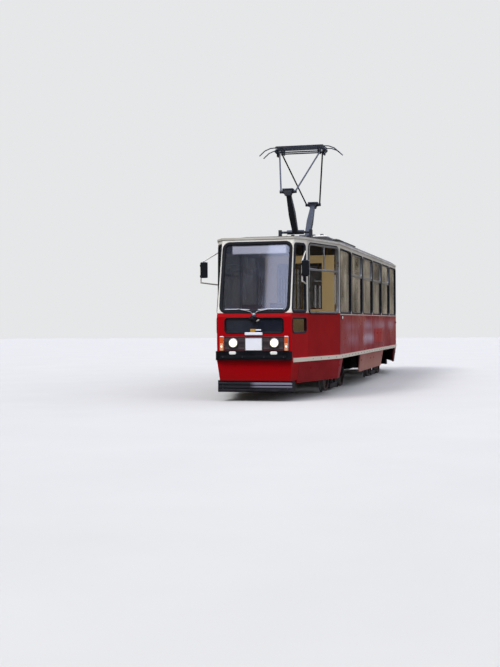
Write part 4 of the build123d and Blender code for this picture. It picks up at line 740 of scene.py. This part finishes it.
# %% Window rubbers
side_rubbers = []
for place, sign, windows in ((left_wall, -1, left_windows), (right_wall, 1, right_windows)):
    side_rubbers += [ring(place, rectangle(sign * x, window_middle, width, window_tall), corner_radius,
                          narrow_rubber) for x, width in windows]
quarter_pane = rectangle(0, window_middle, quarter_window, window_tall)
for key in ("left_front", "left_rear"):
    side_rubbers.append(ring(quarters[key], quarter_pane, corner_radius, quarter_rubber))
gussets = []
for key, place in cheeks.items():
    ahead = -1 if key in ("left_front", "right_rear") else 1
    rear, foot = ahead * (-cheek_length / 2 + 0.06), ahead * (cheek_length / 2 - 0.06)
    head = foot - ahead * window_tall * tan(rake)
    back, front = rear - ahead * 0.008, ahead * 0.030
    side_rubbers.append(ring(twisted[key], [(back, waist), (foot + front, waist), (head + front, glass_top),
                                            (back, glass_top)], 0.07, corner_rubber))
    side_rubbers.append(ring(place, rectangle(0, low_middle, 0.585, low_tall), low_radius, narrow_rubber))
    # A small triangle of sheet fills each corner of the corner window
    for along, height, turn, rise in ((rear, waist, ahead, 1), (foot, waist, -ahead, 1),
                                      (head, glass_top, -ahead, -1), (rear, glass_top, ahead, -1)):
        inset_x, inset_z = along - turn * 0.004, height - rise * 0.004
        gussets.append(slab(twisted[key], [(inset_x, inset_z), (along + turn * 0.055, inset_z),
                                           (inset_x, height + rise * 0.055)], 0.001, -0.018, -0.003, 0.001))
make("side_window_rubbers", window_rubber, side_rubbers)
make("corner_window_gussets", cream_enamel, gussets)

screen_low, screen_high = ((rail_head + z - rake_base) / cos(rake) for z in (1.588, 2.848))
screen = rectangle(0, (screen_low + screen_high) / 2, 1.262, screen_high - screen_low)
for end, word, upright in ((1, "front", nose), (-1, "rear", tail)):
    make(word + "_screen_rubber", window_rubber, [
        ring(leaning_frame(end), screen, 0.11, wide_rubber),
        ring(upright, rectangle(0, low_middle, 1.08, low_tall), low_radius, narrow_rubber)])
print("rubbers on", len(side_rubbers) + 4, "openings")

# %% [markdown]
# The saloon windows that open have a drop light in their top third, held in pale
# aluminium rails. The driver's window has two panes that slide past each other, with a
# rail under them and a stile between. All of it is slim extruded section, so slabs with
# small chamfers on the glass do it, with a frame ring round each light.

# %% Aluminium window frames
frames = []
pane_face = -0.021
split = rail_head + 2.365
frame_face = pane_face + 0.012
light_frame = [(0.0, pane_face), (-0.001, frame_face), (-0.017, frame_face), (-0.018, pane_face)]
for x, width in drop_windows:
    light = rectangle(-x, (split + glass_top) / 2, width - 0.03, glass_top - split - 0.03)
    frames.append(ring(left_wall, light, 0.06, light_frame))
    rail = rectangle(-x, split, width - 0.026, 0.032)
    frames.append(slab(left_wall, rail, 0.004, pane_face, pane_face + 0.016))
for x, width in right_windows:
    rail = rectangle(x, split, width - 0.026, 0.032)
    frames.append(slab(right_wall, rail, 0.004, pane_face, pane_face + 0.016))
driver, split = quarters["left_front"], rail_head + 2.37
frames += [
    slab(driver, rectangle(0, split, quarter_window - 0.026, 0.036), 0.004, pane_face, pane_face + 0.020),
    slab(driver, rectangle(0.035, (split + glass_top) / 2, 0.030, glass_top - split - 0.02), 0.004,
         pane_face, pane_face + 0.018),
    ring(driver, quarter_pane, corner_radius, [(0.012, 0.006), (0.011, 0.013), (-0.018, 0.012),
                                               (-0.022, pane_face)])]
make("aluminium_window_frames", aluminium, frames)

# A cream sill moulding runs under the saloon windows, and a cover strip over each sheet joint
sill_z, sill_tall, strip_foot = waist - 0.032, 0.016, 0.78
sills = [(left_wall, 0, 2 * taper_start - 0.02)]
sills += [(right_wall, side * (taper_start + door_edge) / 2, taper_start - door_edge - 0.05)
          for side in (-1, 1)]
make("sill_mouldings", cream_enamel,
     [slab(place, rectangle(along, sill_z, length, sill_tall), 0.004, -0.001, 0.012)
      for place, along, length in sills])
strip_z, strip_tall = (strip_foot + paint_line) / 2, paint_line - strip_foot - 0.02
make("sheet_joint_covers", chalked_and_sheen_enamel,
     [slab(left_wall, rectangle(-x, strip_z, 0.022, strip_tall), 0.003, -0.001, 0.003, 0.001)
      for x in (-taper_start + 0.02, taper_start - 0.02, 0.0, 2 * pitch, -2 * pitch)])
print("window frames and mouldings made")

# %% [markdown]
# One hatch low on the left side was painted again in a brighter red, and stands out as a
# rectangle. It is a flat door with a rolled edge, flush with the wall and held by two
# square-key latches, painted over. The skirts' panels have the same latches.

# %% Hatch and skirt latches
make("side_hatch", bright_enamel,
     [slab(left_wall, rectangle(1.03, rail_head + 1.062, 1.44, 0.335), 0.015, -0.001, 0.004, 0.0015)])
latches = [turned(at(left_wall, along, rail_head + 1.12), (0, 1, 0),
                  [(0.003, 0.016), (0.007, 0.016), (0.009, 0.013), (0.006, 0.006)], 16)
           for along in (0.78, 1.42)]
# The right side has its skirt latches between the two middle doors
for side, latch_xs in ((-1, (0.25, -0.25)), (1, (4.6, 5.9, 1.7, 0.25, -0.25, -1.7, -4.6, -5.9))):
    for x in latch_xs:
        latches.append(turned((x, side * (taper_y(x) - 0.024), rail_head + 0.55), (0, side, 0),
                              [(0.0, 0.017), (0.009, 0.017), (0.012, 0.013), (0.009, 0.006)], 16))
make("square_key_latches", fresh_enamel, latches)
print("latches", len(latches))

# %% [markdown]
# The front carries most of the small things that make a tram a tram. Two round headlamps
# have a domed pressed lens in a bright rim, so each is turned. Between them a blank
# board hangs on the ribbed panel, under a white lamp housing with two small tags.

# %% Headlamps, ribs and boards
lamp_places = [(half_length, y, rail_head + 1.03) for y in (-0.38, 0.38)]
dome_radius, dome_rise, dome_rows = 0.071, 0.016, 8
dome = [(0.02, dome_radius)]
for k in range(dome_rows, 0, -1):
    dome.append((0.030 + dome_rise * (1 - (k / dome_rows) ** 2), dome_radius * k / dome_rows))
# The dome closes with a tiny flat, so that its last loop keeps its points apart
dome.append((0.030 + dome_rise, 0.0001))
make("headlamp_domes", headlamp_glass,
     [turned(place, (1, 0, 0), dome, 40) for place in lamp_places], sharp_degrees=60)
rim = [(0.0, 0.086), (0.030, 0.0885), (0.038, 0.086), (0.0405, 0.080), (0.040, 0.074), (0.036, 0.0715),
       (0.024, 0.0715)]
make("headlamp_rims", aluminium, [turned(place, (1, 0, 0), rim, 40) for place in lamp_places])
board_face = 0.028
make("number_board_frame", aluminium, [
    ring(nose, rectangle(0, rail_head + 1.007, 0.304, 0.217), 0.004, [
        (0.008, 0.014), (0.007, board_face + 0.004), (-0.002, board_face + 0.005), (-0.003, board_face)])])
# Ribs are pressed across the lamp panel, between the lamps and outside them
rib_x, rib_levels = half_length + 0.009, [rail_head + 0.928 + 0.025 * k for k in range(8)]
make("lamp_panel_ribs", rib_paint, [
    swept([(rib_x, y - reach, level), (rib_x, y + reach, level)], 0.004, None, 6)
    for level in rib_levels for y, reach in ((-0.50, 0.040), (-0.23, 0.055), (0.23, 0.055), (0.50, 0.040))])
# The sign's lit face stands a little proud of its box, behind the leaning screen
sign_z, sign_depth, sign_proud = rail_head + 2.728, 0.12, 0.030
sign_x = half_length - wall - (sign_z - rake_base) * tan(rake) - sign_depth + sign_proud
make("sign_face", sign_glow,
     [slab(wall_frame(sign_x, 0.0, 0), rectangle(0, sign_z, 1.000, 0.130), 0.006, -0.002, 0.006, 0.002)])
print("headlamps and boards made")

# %% Small lamps at both ends
indicator_ys, tail_lamp_ys = (-0.598, 0.598), (-0.52, 0.52)
make("lamp_housing_bar", glowing_board_enamel,
     [slab(nose, rectangle(0, rail_head + 1.195, 0.32, 0.05), 0.012, 0.0, 0.045, 0.006),
      slab(nose, rectangle(0.085, rail_head + 1.262, 0.10, 0.022), 0.006, 0.010, 0.028, 0.003)])
make("yellow_warning_lamp", yellow_plastic,
     [slab(nose, rectangle(-0.015, rail_head + 1.250, 0.085, 0.058), 0.010, 0.004, 0.040, 0.005)])
make("indicator_bezels", aluminium,
     [ring(nose, rectangle(y, rail_head + 1.02, 0.072, 0.25), 0.010,
           [(0.008, 0.0), (0.006, 0.018), (-0.002, 0.024), (-0.004, 0.021)]) for y in indicator_ys])
for name, finish, level, tall in (("indicator_lenses", amber_lens, 1.085, 0.112),
                                  ("indicator_lower_lenses", pale_amber_lens, 0.955, 0.132)):
    make(name, finish,
         [slab(nose, rectangle(y, rail_head + level, 0.060, tall), 0.010, 0.018, 0.034, 0.006)
          for y in indicator_ys])
make("indicator_bulbs", headlamp_glass,
     [turned((half_length, y, rail_head + 0.965), (1, 0, 0),
             [(0.030, 0.017), (0.036, 0.015), (0.039, 0.008)], 16) for y in indicator_ys])
make("bumper_lamps", clear_lens,
     [slab(nose, rectangle(y, rail_head + 0.85, 0.128, 0.056), 0.026, 0.066, 0.088, 0.008)
      for _, y, _ in lamp_places])
make("tail_lamp_lenses", red_lens,
     [slab(tail, rectangle(y, rail_head + z, 0.094, 0.072), 0.012, 0.018, 0.034, 0.006)
      for y in tail_lamp_ys for z in (0.94, 1.02, 1.10)])
print("small lamps made")

# %% [markdown]
# The bumper is a folded steel box with a shallow groove and round-headed bolts. The guard
# under the apron is faced with horizontal slats, which stand a little off it. Bolt heads
# are turned with a domed top; there are many, so they are one piece.

# %% Bumpers, guard slats and bolts
bolts, slats, strips = [], [], []
buffer_z, skirt_bolt_z = rail_head + 0.775, rail_head + 0.718


def bolt(place, along, height, out, radius):
    """Round-headed bolt on a surface."""
    head = [(-0.001, radius), (0.002, radius), (0.006, radius * 0.75), (0.008, radius * 0.35)]
    bolts.append(turned(at(place, along, height, out), place[3], head, 12))


for place in (nose, tail):
    slats += [slab(place, rectangle(0, rail_head + height, 1.376, 0.040), 0.006, -0.052, -0.036, 0.004)
              for height in (0.175, 0.235, 0.295)]
    strips.append(slab(place, rectangle(0, buffer_z, 1.22, 0.050), 0.012, 0.068, 0.078, 0.004))
    for along in (-0.56, -0.2, 0.2, 0.56):
        bolt(place, along, buffer_z, 0.078, 0.011)
    for along in (-0.6, 0.6):
        for height in (0.205, 0.265):
            bolt(place, along, rail_head + height, -0.050, 0.009)
make("guard_slats", highlit_slat_paint, slats)
make("bumper_buffing_strips", window_rubber, strips)
for x in [k * 0.42 - 4.41 for k in range(22)]:
    bolt(left_wall, -x, skirt_bolt_z, 0.014, 0.008)
    if not 0.35 < abs(x) < 1.72:
        bolt(right_wall, x, skirt_bolt_z, 0.014, 0.008)
for key in ("left_front", "left_rear"):
    for along in (-0.55, -0.18, 0.18, 0.55):
        bolt(quarters[key], along, skirt_bolt_z, 0.014, 0.008)
make("round_headed_bolts", bolt_steel, bolts)
print("bolts", len(bolts))

# %% [markdown]
# Two wiper arms leave one spindle under the windscreen and lie along its lower edge. An
# arm is a thin tapering bar on the glass side of which a blade hangs in a slim steel
# bow. The motor's cover bulges out over the low window.

# %% Wipers
lean = leaning_frame(1)
pivot_z = screen_low - 0.055
wipers = [turned(at(lean, 0.0, pivot_z, -0.002), lean[3],
                 [(0.0, 0.032), (0.022, 0.030), (0.034, 0.020), (0.040, 0.012)], 20)]
for side in (-1, 1):
    for points, bend, steps, half_thick, half_deep in (
            (((0.012, 0.005, 0.030), (0.06, 0.05, 0.036), (0.30, 0.105, 0.034)), 0.03, 6, 0.0055, 0.0035),
            (((0.08, 0.090, 0.024), (0.30, 0.100, 0.026), (0.54, 0.100, 0.024)), 0.3, 4, 0.0045, 0.008)):
        run = [at(lean, side * along, pivot_z + rise, out) for along, rise, out in points]
        wipers.append(swept(rounded_path(run, bend, steps), half_thick, half_deep, 8))
make("wiper_arms", aluminium, wipers)
make("wiper_blades", window_rubber, [
    swept([at(lean, side * along, pivot_z + 0.098, 0.014) for along in (0.07, 0.31, 0.55)], 0.004, 0.009, 8)
    for side in (-1, 1)])
make("wiper_motor_cover", bumper_paint, [
    slab(nose, [(-0.10, rail_head + 1.44), (0.04, rail_head + 1.40), (0.09, rail_head + 1.50),
                (-0.04, rail_head + 1.52)], 0.02, 0.0, 0.05, 0.012),
    turned(at(nose, -0.02, rail_head + 1.455, 0.03), (1, 0, 0),
           [(0.0, 0.035), (0.03, 0.033), (0.042, 0.02)], 20)])
make("wiper_motor_lever", cream_enamel, [
    slab(nose, [(0.03, rail_head + 1.410), (0.07, rail_head + 1.413), (0.135, rail_head + 1.452),
                (0.085, rail_head + 1.450)], 0.010, 0.020, 0.034, 0.005)])
print("wipers made")

# %% [markdown]
# Each mirror hangs in a cream tube loop. The CAD carries the tubes and a flat head, so
# what is missing is the moulded housing round the head, its glass on the side that the
# driver sees, and the clamps that hold it to the tube.

# %% Mirrors
mirror_x, mirror_z = 6.6, rail_head + 2.3605
clamp = [(0.0, 0.015), (0.006, 0.019), (0.034, 0.019), (0.04, 0.015)]
for tube_y, word in ((0.86, "left"), (-1.03, "right")):
    front, back = (wall_frame(mirror_x, tube_y + 0.0625, facing) for facing in (0, 180))
    make(word + "_mirror_housing", window_rubber, [
        slab(front, rectangle(0, mirror_z, 0.131, 0.291), 0.026, -0.019, 0.036, 0.012),
        *[turned((mirror_x, tube_y, mirror_z + rise), (0, 0, 1), clamp, 16) for rise in (-0.1325, 0.0625)]])
    make(word + "_mirror_glass", mirror_glass,
         [slab(back, rectangle(0, mirror_z, 0.108, 0.262), 0.018, 0.017, 0.024, 0.002)])
print("mirrors made")

# %% [markdown]
# A door leaf is a steel frame with two panes. The CAD leaves the openings empty, so each
# leaf gets its panes and rubbers, and the two leaves that meet in the middle get a soft
# nose. They must fold with their leaf, so every piece rides on that leaf's own body.

# %% Door glass, rubbers and noses
leaf_face = -0.010
leaf_middle, nose_tall = rail_head + 1.48, 2.06
panes = [(rail_head + 1.87, 1.16), (rail_head + 0.91, 0.54)]
outer_start = doorway_width / 2 - post_gap - leaf_width
inner_start = outer_start - fold_gap - leaf_width
leaf_starts = {"left_outer": -outer_start - leaf_width, "left_inner": -inner_start - leaf_width,
               "right_inner": inner_start, "right_outer": outer_start}
doors = {"front_door": (quarters["right_front"], 0.0), "second_door": (right_wall, inner_door_x),
         "third_door": (right_wall, -inner_door_x), "rear_door": (quarters["right_rear"], 0.0)}
door_rubber = [(0.012, leaf_face), (0.010, leaf_face + 0.004), (-0.004, leaf_face + 0.005),
               (-0.010, leaf_face - 0.001), (-0.010, leaf_face - 0.012), (0.0, leaf_face - 0.013)]
for door, (place, middle) in doors.items():
    for leaf, start in leaf_starts.items():
        body = door + "_" + leaf
        centre = middle + start + leaf_width / 2
        outlines = [rectangle(centre, height, 0.196, tall) for height, tall in panes]
        make(body + "_panes", tempered_glass, body=body, shapes=[
            slab(place, corners, 0.004, leaf_face - 0.019, leaf_face - 0.013, 0.001)
            for corners in outlines])
        make(body + "_pane_rubbers", window_rubber, body=body, shapes=[
            ring(place, corners, 0.012, door_rubber) for corners in outlines])
        if leaf.endswith("inner"):
            edge = centre + (leaf_width / 2 + 0.0035) * (1 if leaf.startswith("left") else -1)
            make(body + "_closing_nose", window_rubber, body=body, shapes=[
                slab(place, rectangle(edge, leaf_middle, 0.010, nose_tall), 0.003, leaf_face - 0.022,
                     leaf_face - 0.006, 0.003)])
print("door pieces made for", len(doors) * len(leaf_starts), "leaves")

# %% [markdown]
# The raised pantograph stands on four brown porcelain insulators, turned with sheds that
# keep rain from running down. Along the top of its head lie three carbon strips, with a
# spring box at each end, and a housing covers each knee joint. Two coil springs lift it.

# %% Pantograph
pan_x, knee_z, head_z = 2.44, rail_head + 4.08, rail_head + 5.08
base_z, spring_z = rail_head + 3.3, rail_head + 3.215
insulator = [(0.0, 0.066), (0.012, 0.066)]
for rise in (0.016, 0.044):
    insulator += [(rise, 0.050), (rise + 0.008, 0.076), (rise + 0.014, 0.075), (rise + 0.020, 0.050)]
insulator += [(0.070, 0.050), (0.078, 0.055)]
make("porcelain_insulators", porcelain,
     [turned((pan_x + x, y, rail_head + 3.082), (0, 0, 1), insulator, 28)
      for x in (-0.56, 0.56) for y in (-0.33, 0.33)])
strip_top = head_z + 0.116
make("carbon_strips", carbon, body="pantograph_head", shapes=[
    swept([(pan_x + x, -0.52, strip_top), (pan_x + x, 0.52, strip_top)], 0.014, 0.008, 8)
    for x in (-0.19, 0.0, 0.19)])
spring_boxes = []
for side in (-1, 1):
    end_face = wall_frame(pan_x, side * 0.478, 90 * side)
    spring_boxes += [
        slab(end_face, rectangle(0, head_z + 0.030, 0.30, 0.10), 0.02, 0.012, 0.060, 0.006),
        slab(end_face, rectangle(0, head_z - 0.045, 0.13, 0.075), 0.02, 0.020, 0.052, 0.006),
        *[turned(at(end_face, along, head_z + 0.03, 0.058), end_face[3],
                 [(0, 0.03), (0.02, 0.03), (0.026, 0.02)], 20) for along in (-0.11, 0.11)]]
make("head_spring_boxes", pole_paint, spring_boxes, "pantograph_head")
cap = rectangle(0, knee_z + 0.046, 0.224, 0.032)
web = [(-0.06, knee_z - 0.09), (0.06, knee_z - 0.09), (0.108, knee_z + 0.036), (-0.108, knee_z + 0.036)]
for x, arm in ((pan_x + 1.34, "front_lower_arm"), (pan_x - 1.34, "rear_lower_arm")):
    knee = wall_frame(x, 0.0, 0)
    make(arm + "_knee_housing", pole_paint, body=arm, shapes=[
        slab(knee, cap, 0.01, -0.075, 0.075, 0.01), slab(knee, web, 0.012, -0.062, 0.062, 0.008)])


def coil(start, along, radius, length, turns, steps):
    """Points of a helix from its start along one of the car's axes."""
    start, along = Vector(start), Vector(along)
    first, second = Vector(along.zxy), Vector(along.yzx)
    points = []
    for k in range(turns * steps + 1):
        angle = 2 * pi * k / steps
        points.append(start + along * length * k / (turns * steps) + first * radius * cos(angle)
                      + second * radius * sin(angle))
    return points


lifting = []
for y in (-0.245, 0.245):
    lifting.append(swept(coil((pan_x - 0.40, y, spring_z), (1, 0, 0), 0.032, 0.80, 26, 10), 0.007, None, 6))
    for end in (-1, 1):
        hook = [(pan_x + end * 0.385, y), (pan_x + end * 0.58, y), (pan_x + end * 0.58, y * 1.25)]
        lifting.append(swept([(*spot, spring_z) for spot in hook], 0.011, None, 8))
make("pantograph_lifting_springs", cast_iron, lifting)
print("pantograph details made")

# %% [markdown]
# A roof is made of sheets across the car, joined by narrow standing beads. Low boxes
# carry resistors and the line breaker under louvred lids. A cable in a conduit leads
# from the pantograph's base to the breaker.

# %% Roof
crown = eave + 0.2
crown_half_width, crown_drop = 1.08, 0.088
crown_radius = (crown_half_width ** 2 + crown_drop ** 2) / (2 * crown_drop)


def roof_height(x, y):
    """Height of the roof's skin: the lowest of its arch, the quarters' hips and the brow."""
    arch = crown - y * y / (2 * crown_radius)
    inside_quarter = (taper_y(x) - abs(y)) * cos(taper) if abs(x) > taper_start - 0.5 else 1.0
    hip = eave + 0.05 + 0.20 * inside_quarter
    brow = eave + 0.05 + 0.078 * (half_length - rake_run - abs(x))
    return min(arch, hip, brow)


beads = []
for x in (-5.3, -4.3, -3.1, -1.9, -0.3, 0.5, 1.5, 3.3, 4.3, 5.3):
    reach = min(crown_half_width, taper_y(x) - 0.06)
    across = [(k / 6 - 1) * reach for k in range(13)]
    beads.append(swept([(x, y, roof_height(x, y) + 0.001) for y in across], 0.012, 0.006, 8))
make("roof_sheet_beads", roof_enamel, beads)
for word, x, y, length, width, height, top, chamfer, finish in (
        ("breaker", 1.15, 0.5, 0.7, 0.3, 0.13, 0.018, 0.006, roof_enamel),
        ("vent", 3.95, 0.76, 0.76, 0.26, -0.01, 0.026, 0.012, vent_enamel),
        ("resistor", -1.4, 0.0, 1.6, 0.9, 0.22, 0.018, 0.006, roof_enamel)):
    place = (Vector((x, y, crown + height)), Vector((1, 0, 0)), Vector((0, 1, 0)), Vector((0, 0, 1)))
    lids = [slab(place, rectangle(0, 0, length + 0.03, width + 0.03), 0.02, -0.004, top, chamfer)]
    count = int(length / 0.12)
    for k in range(count):
        along = (k + 0.5) * length / count - length / 2
        louvre = [at(place, along, side * width * 0.38, top) for side in (-1, 1)]
        lids.append(swept(louvre, 0.022, 0.010, 8))
    make("roof_" + word + "_lid", finish, lids)
roof_lies = roof_height(0.9, 0.3) + 0.02
conduit = rounded_path([(1.70, 0.33, base_z - 0.11), (1.50, 0.33, base_z - 0.13), (1.25, 0.30, roof_lies),
                        (-0.6, 0.30, roof_lies)], 0.05)
make("roof_cable_conduit", window_rubber, [swept(conduit, 0.016)])
print("roof trim made")

# %% [markdown]
# Small lamps mark the car's sides: a pale one just behind the driver's window and a red
# one where the rear taper begins. Both are moulded lenses on a rubber base.

# %% Side marker lamps
for along, height, lens, word in ((-4.42, rail_head + 1.48, clear_lens, "repeater"),
                                  (4.45, rail_head + 1.37, red_lens, "rear_marker")):
    make(word + "_base", window_rubber,
         [slab(left_wall, rectangle(along, height, 0.046, 0.066), 0.016, 0.0, 0.012, 0.004)])
    make(word + "_lens", lens,
         [slab(left_wall, rectangle(along, height, 0.036, 0.054), 0.014, 0.010, 0.032, 0.009)])
print("markers made")

# %% [markdown]
# Last comes the running gear, seen through the gaps in the skirts: a turned cap and a
# ring of bolts on each hub, coil springs on the bogie frames, and a nosing of ribbed
# rubber along each door step.

# %% Wheels, springs and steps
axle_z, bolt_circle = rail_head + 0.327, 0.086
for number, x in enumerate((3.95, 2.05, -2.05, -3.95), start=1):
    hub = []
    for side in (-1, 1):
        face_y = side * 0.815
        hub.append(turned((x, face_y, axle_z), (0, side, 0),
                          [(-0.002, 0.062), (0.012, 0.062), (0.018, 0.054), (0.020, 0.030)], 28))
        for turn in [2 * pi * k / 8 for k in range(8)]:
            spot = (x + bolt_circle * cos(turn), face_y, axle_z + bolt_circle * sin(turn))
            hub.append(turned(spot, (0, side, 0), [(-0.001, 0.010), (0.008, 0.010), (0.010, 0.007)], 6))
    make(f"wheelset_{number}_hub_bolts", cast_iron, hub, f"wheelset_{number}")
for word, centre in (("front", 3.0), ("rear", -3.0)):
    make(word + "_bogie_coil_springs", cast_iron, body=word + "_bogie", shapes=[
        swept(coil((centre + x, y, rail_head + 0.575), (0, 0, 1), 0.05, 0.066, 4, 12), 0.008, None, 6)
        for x in (-0.62, 0.62) for y in (-0.48, 0.48)])
noses = []
for place, middle in doors.values():
    for depth, level in ((-0.36, rail_head + 0.64), (-0.58, rail_head + 0.89)):
        tread = (at(place, middle, level, leaf_face + depth - 0.05), place[1], -place[3], Vector((0, 0, 1)))
        noses.append(slab(tread, rectangle(0, 0.0, doorway_width - 0.06, 0.045), 0.004, 0.0, 0.004, 0.001))
make("step_nosings", window_rubber, noses)
print("running gear made; pieces", len(pieces))
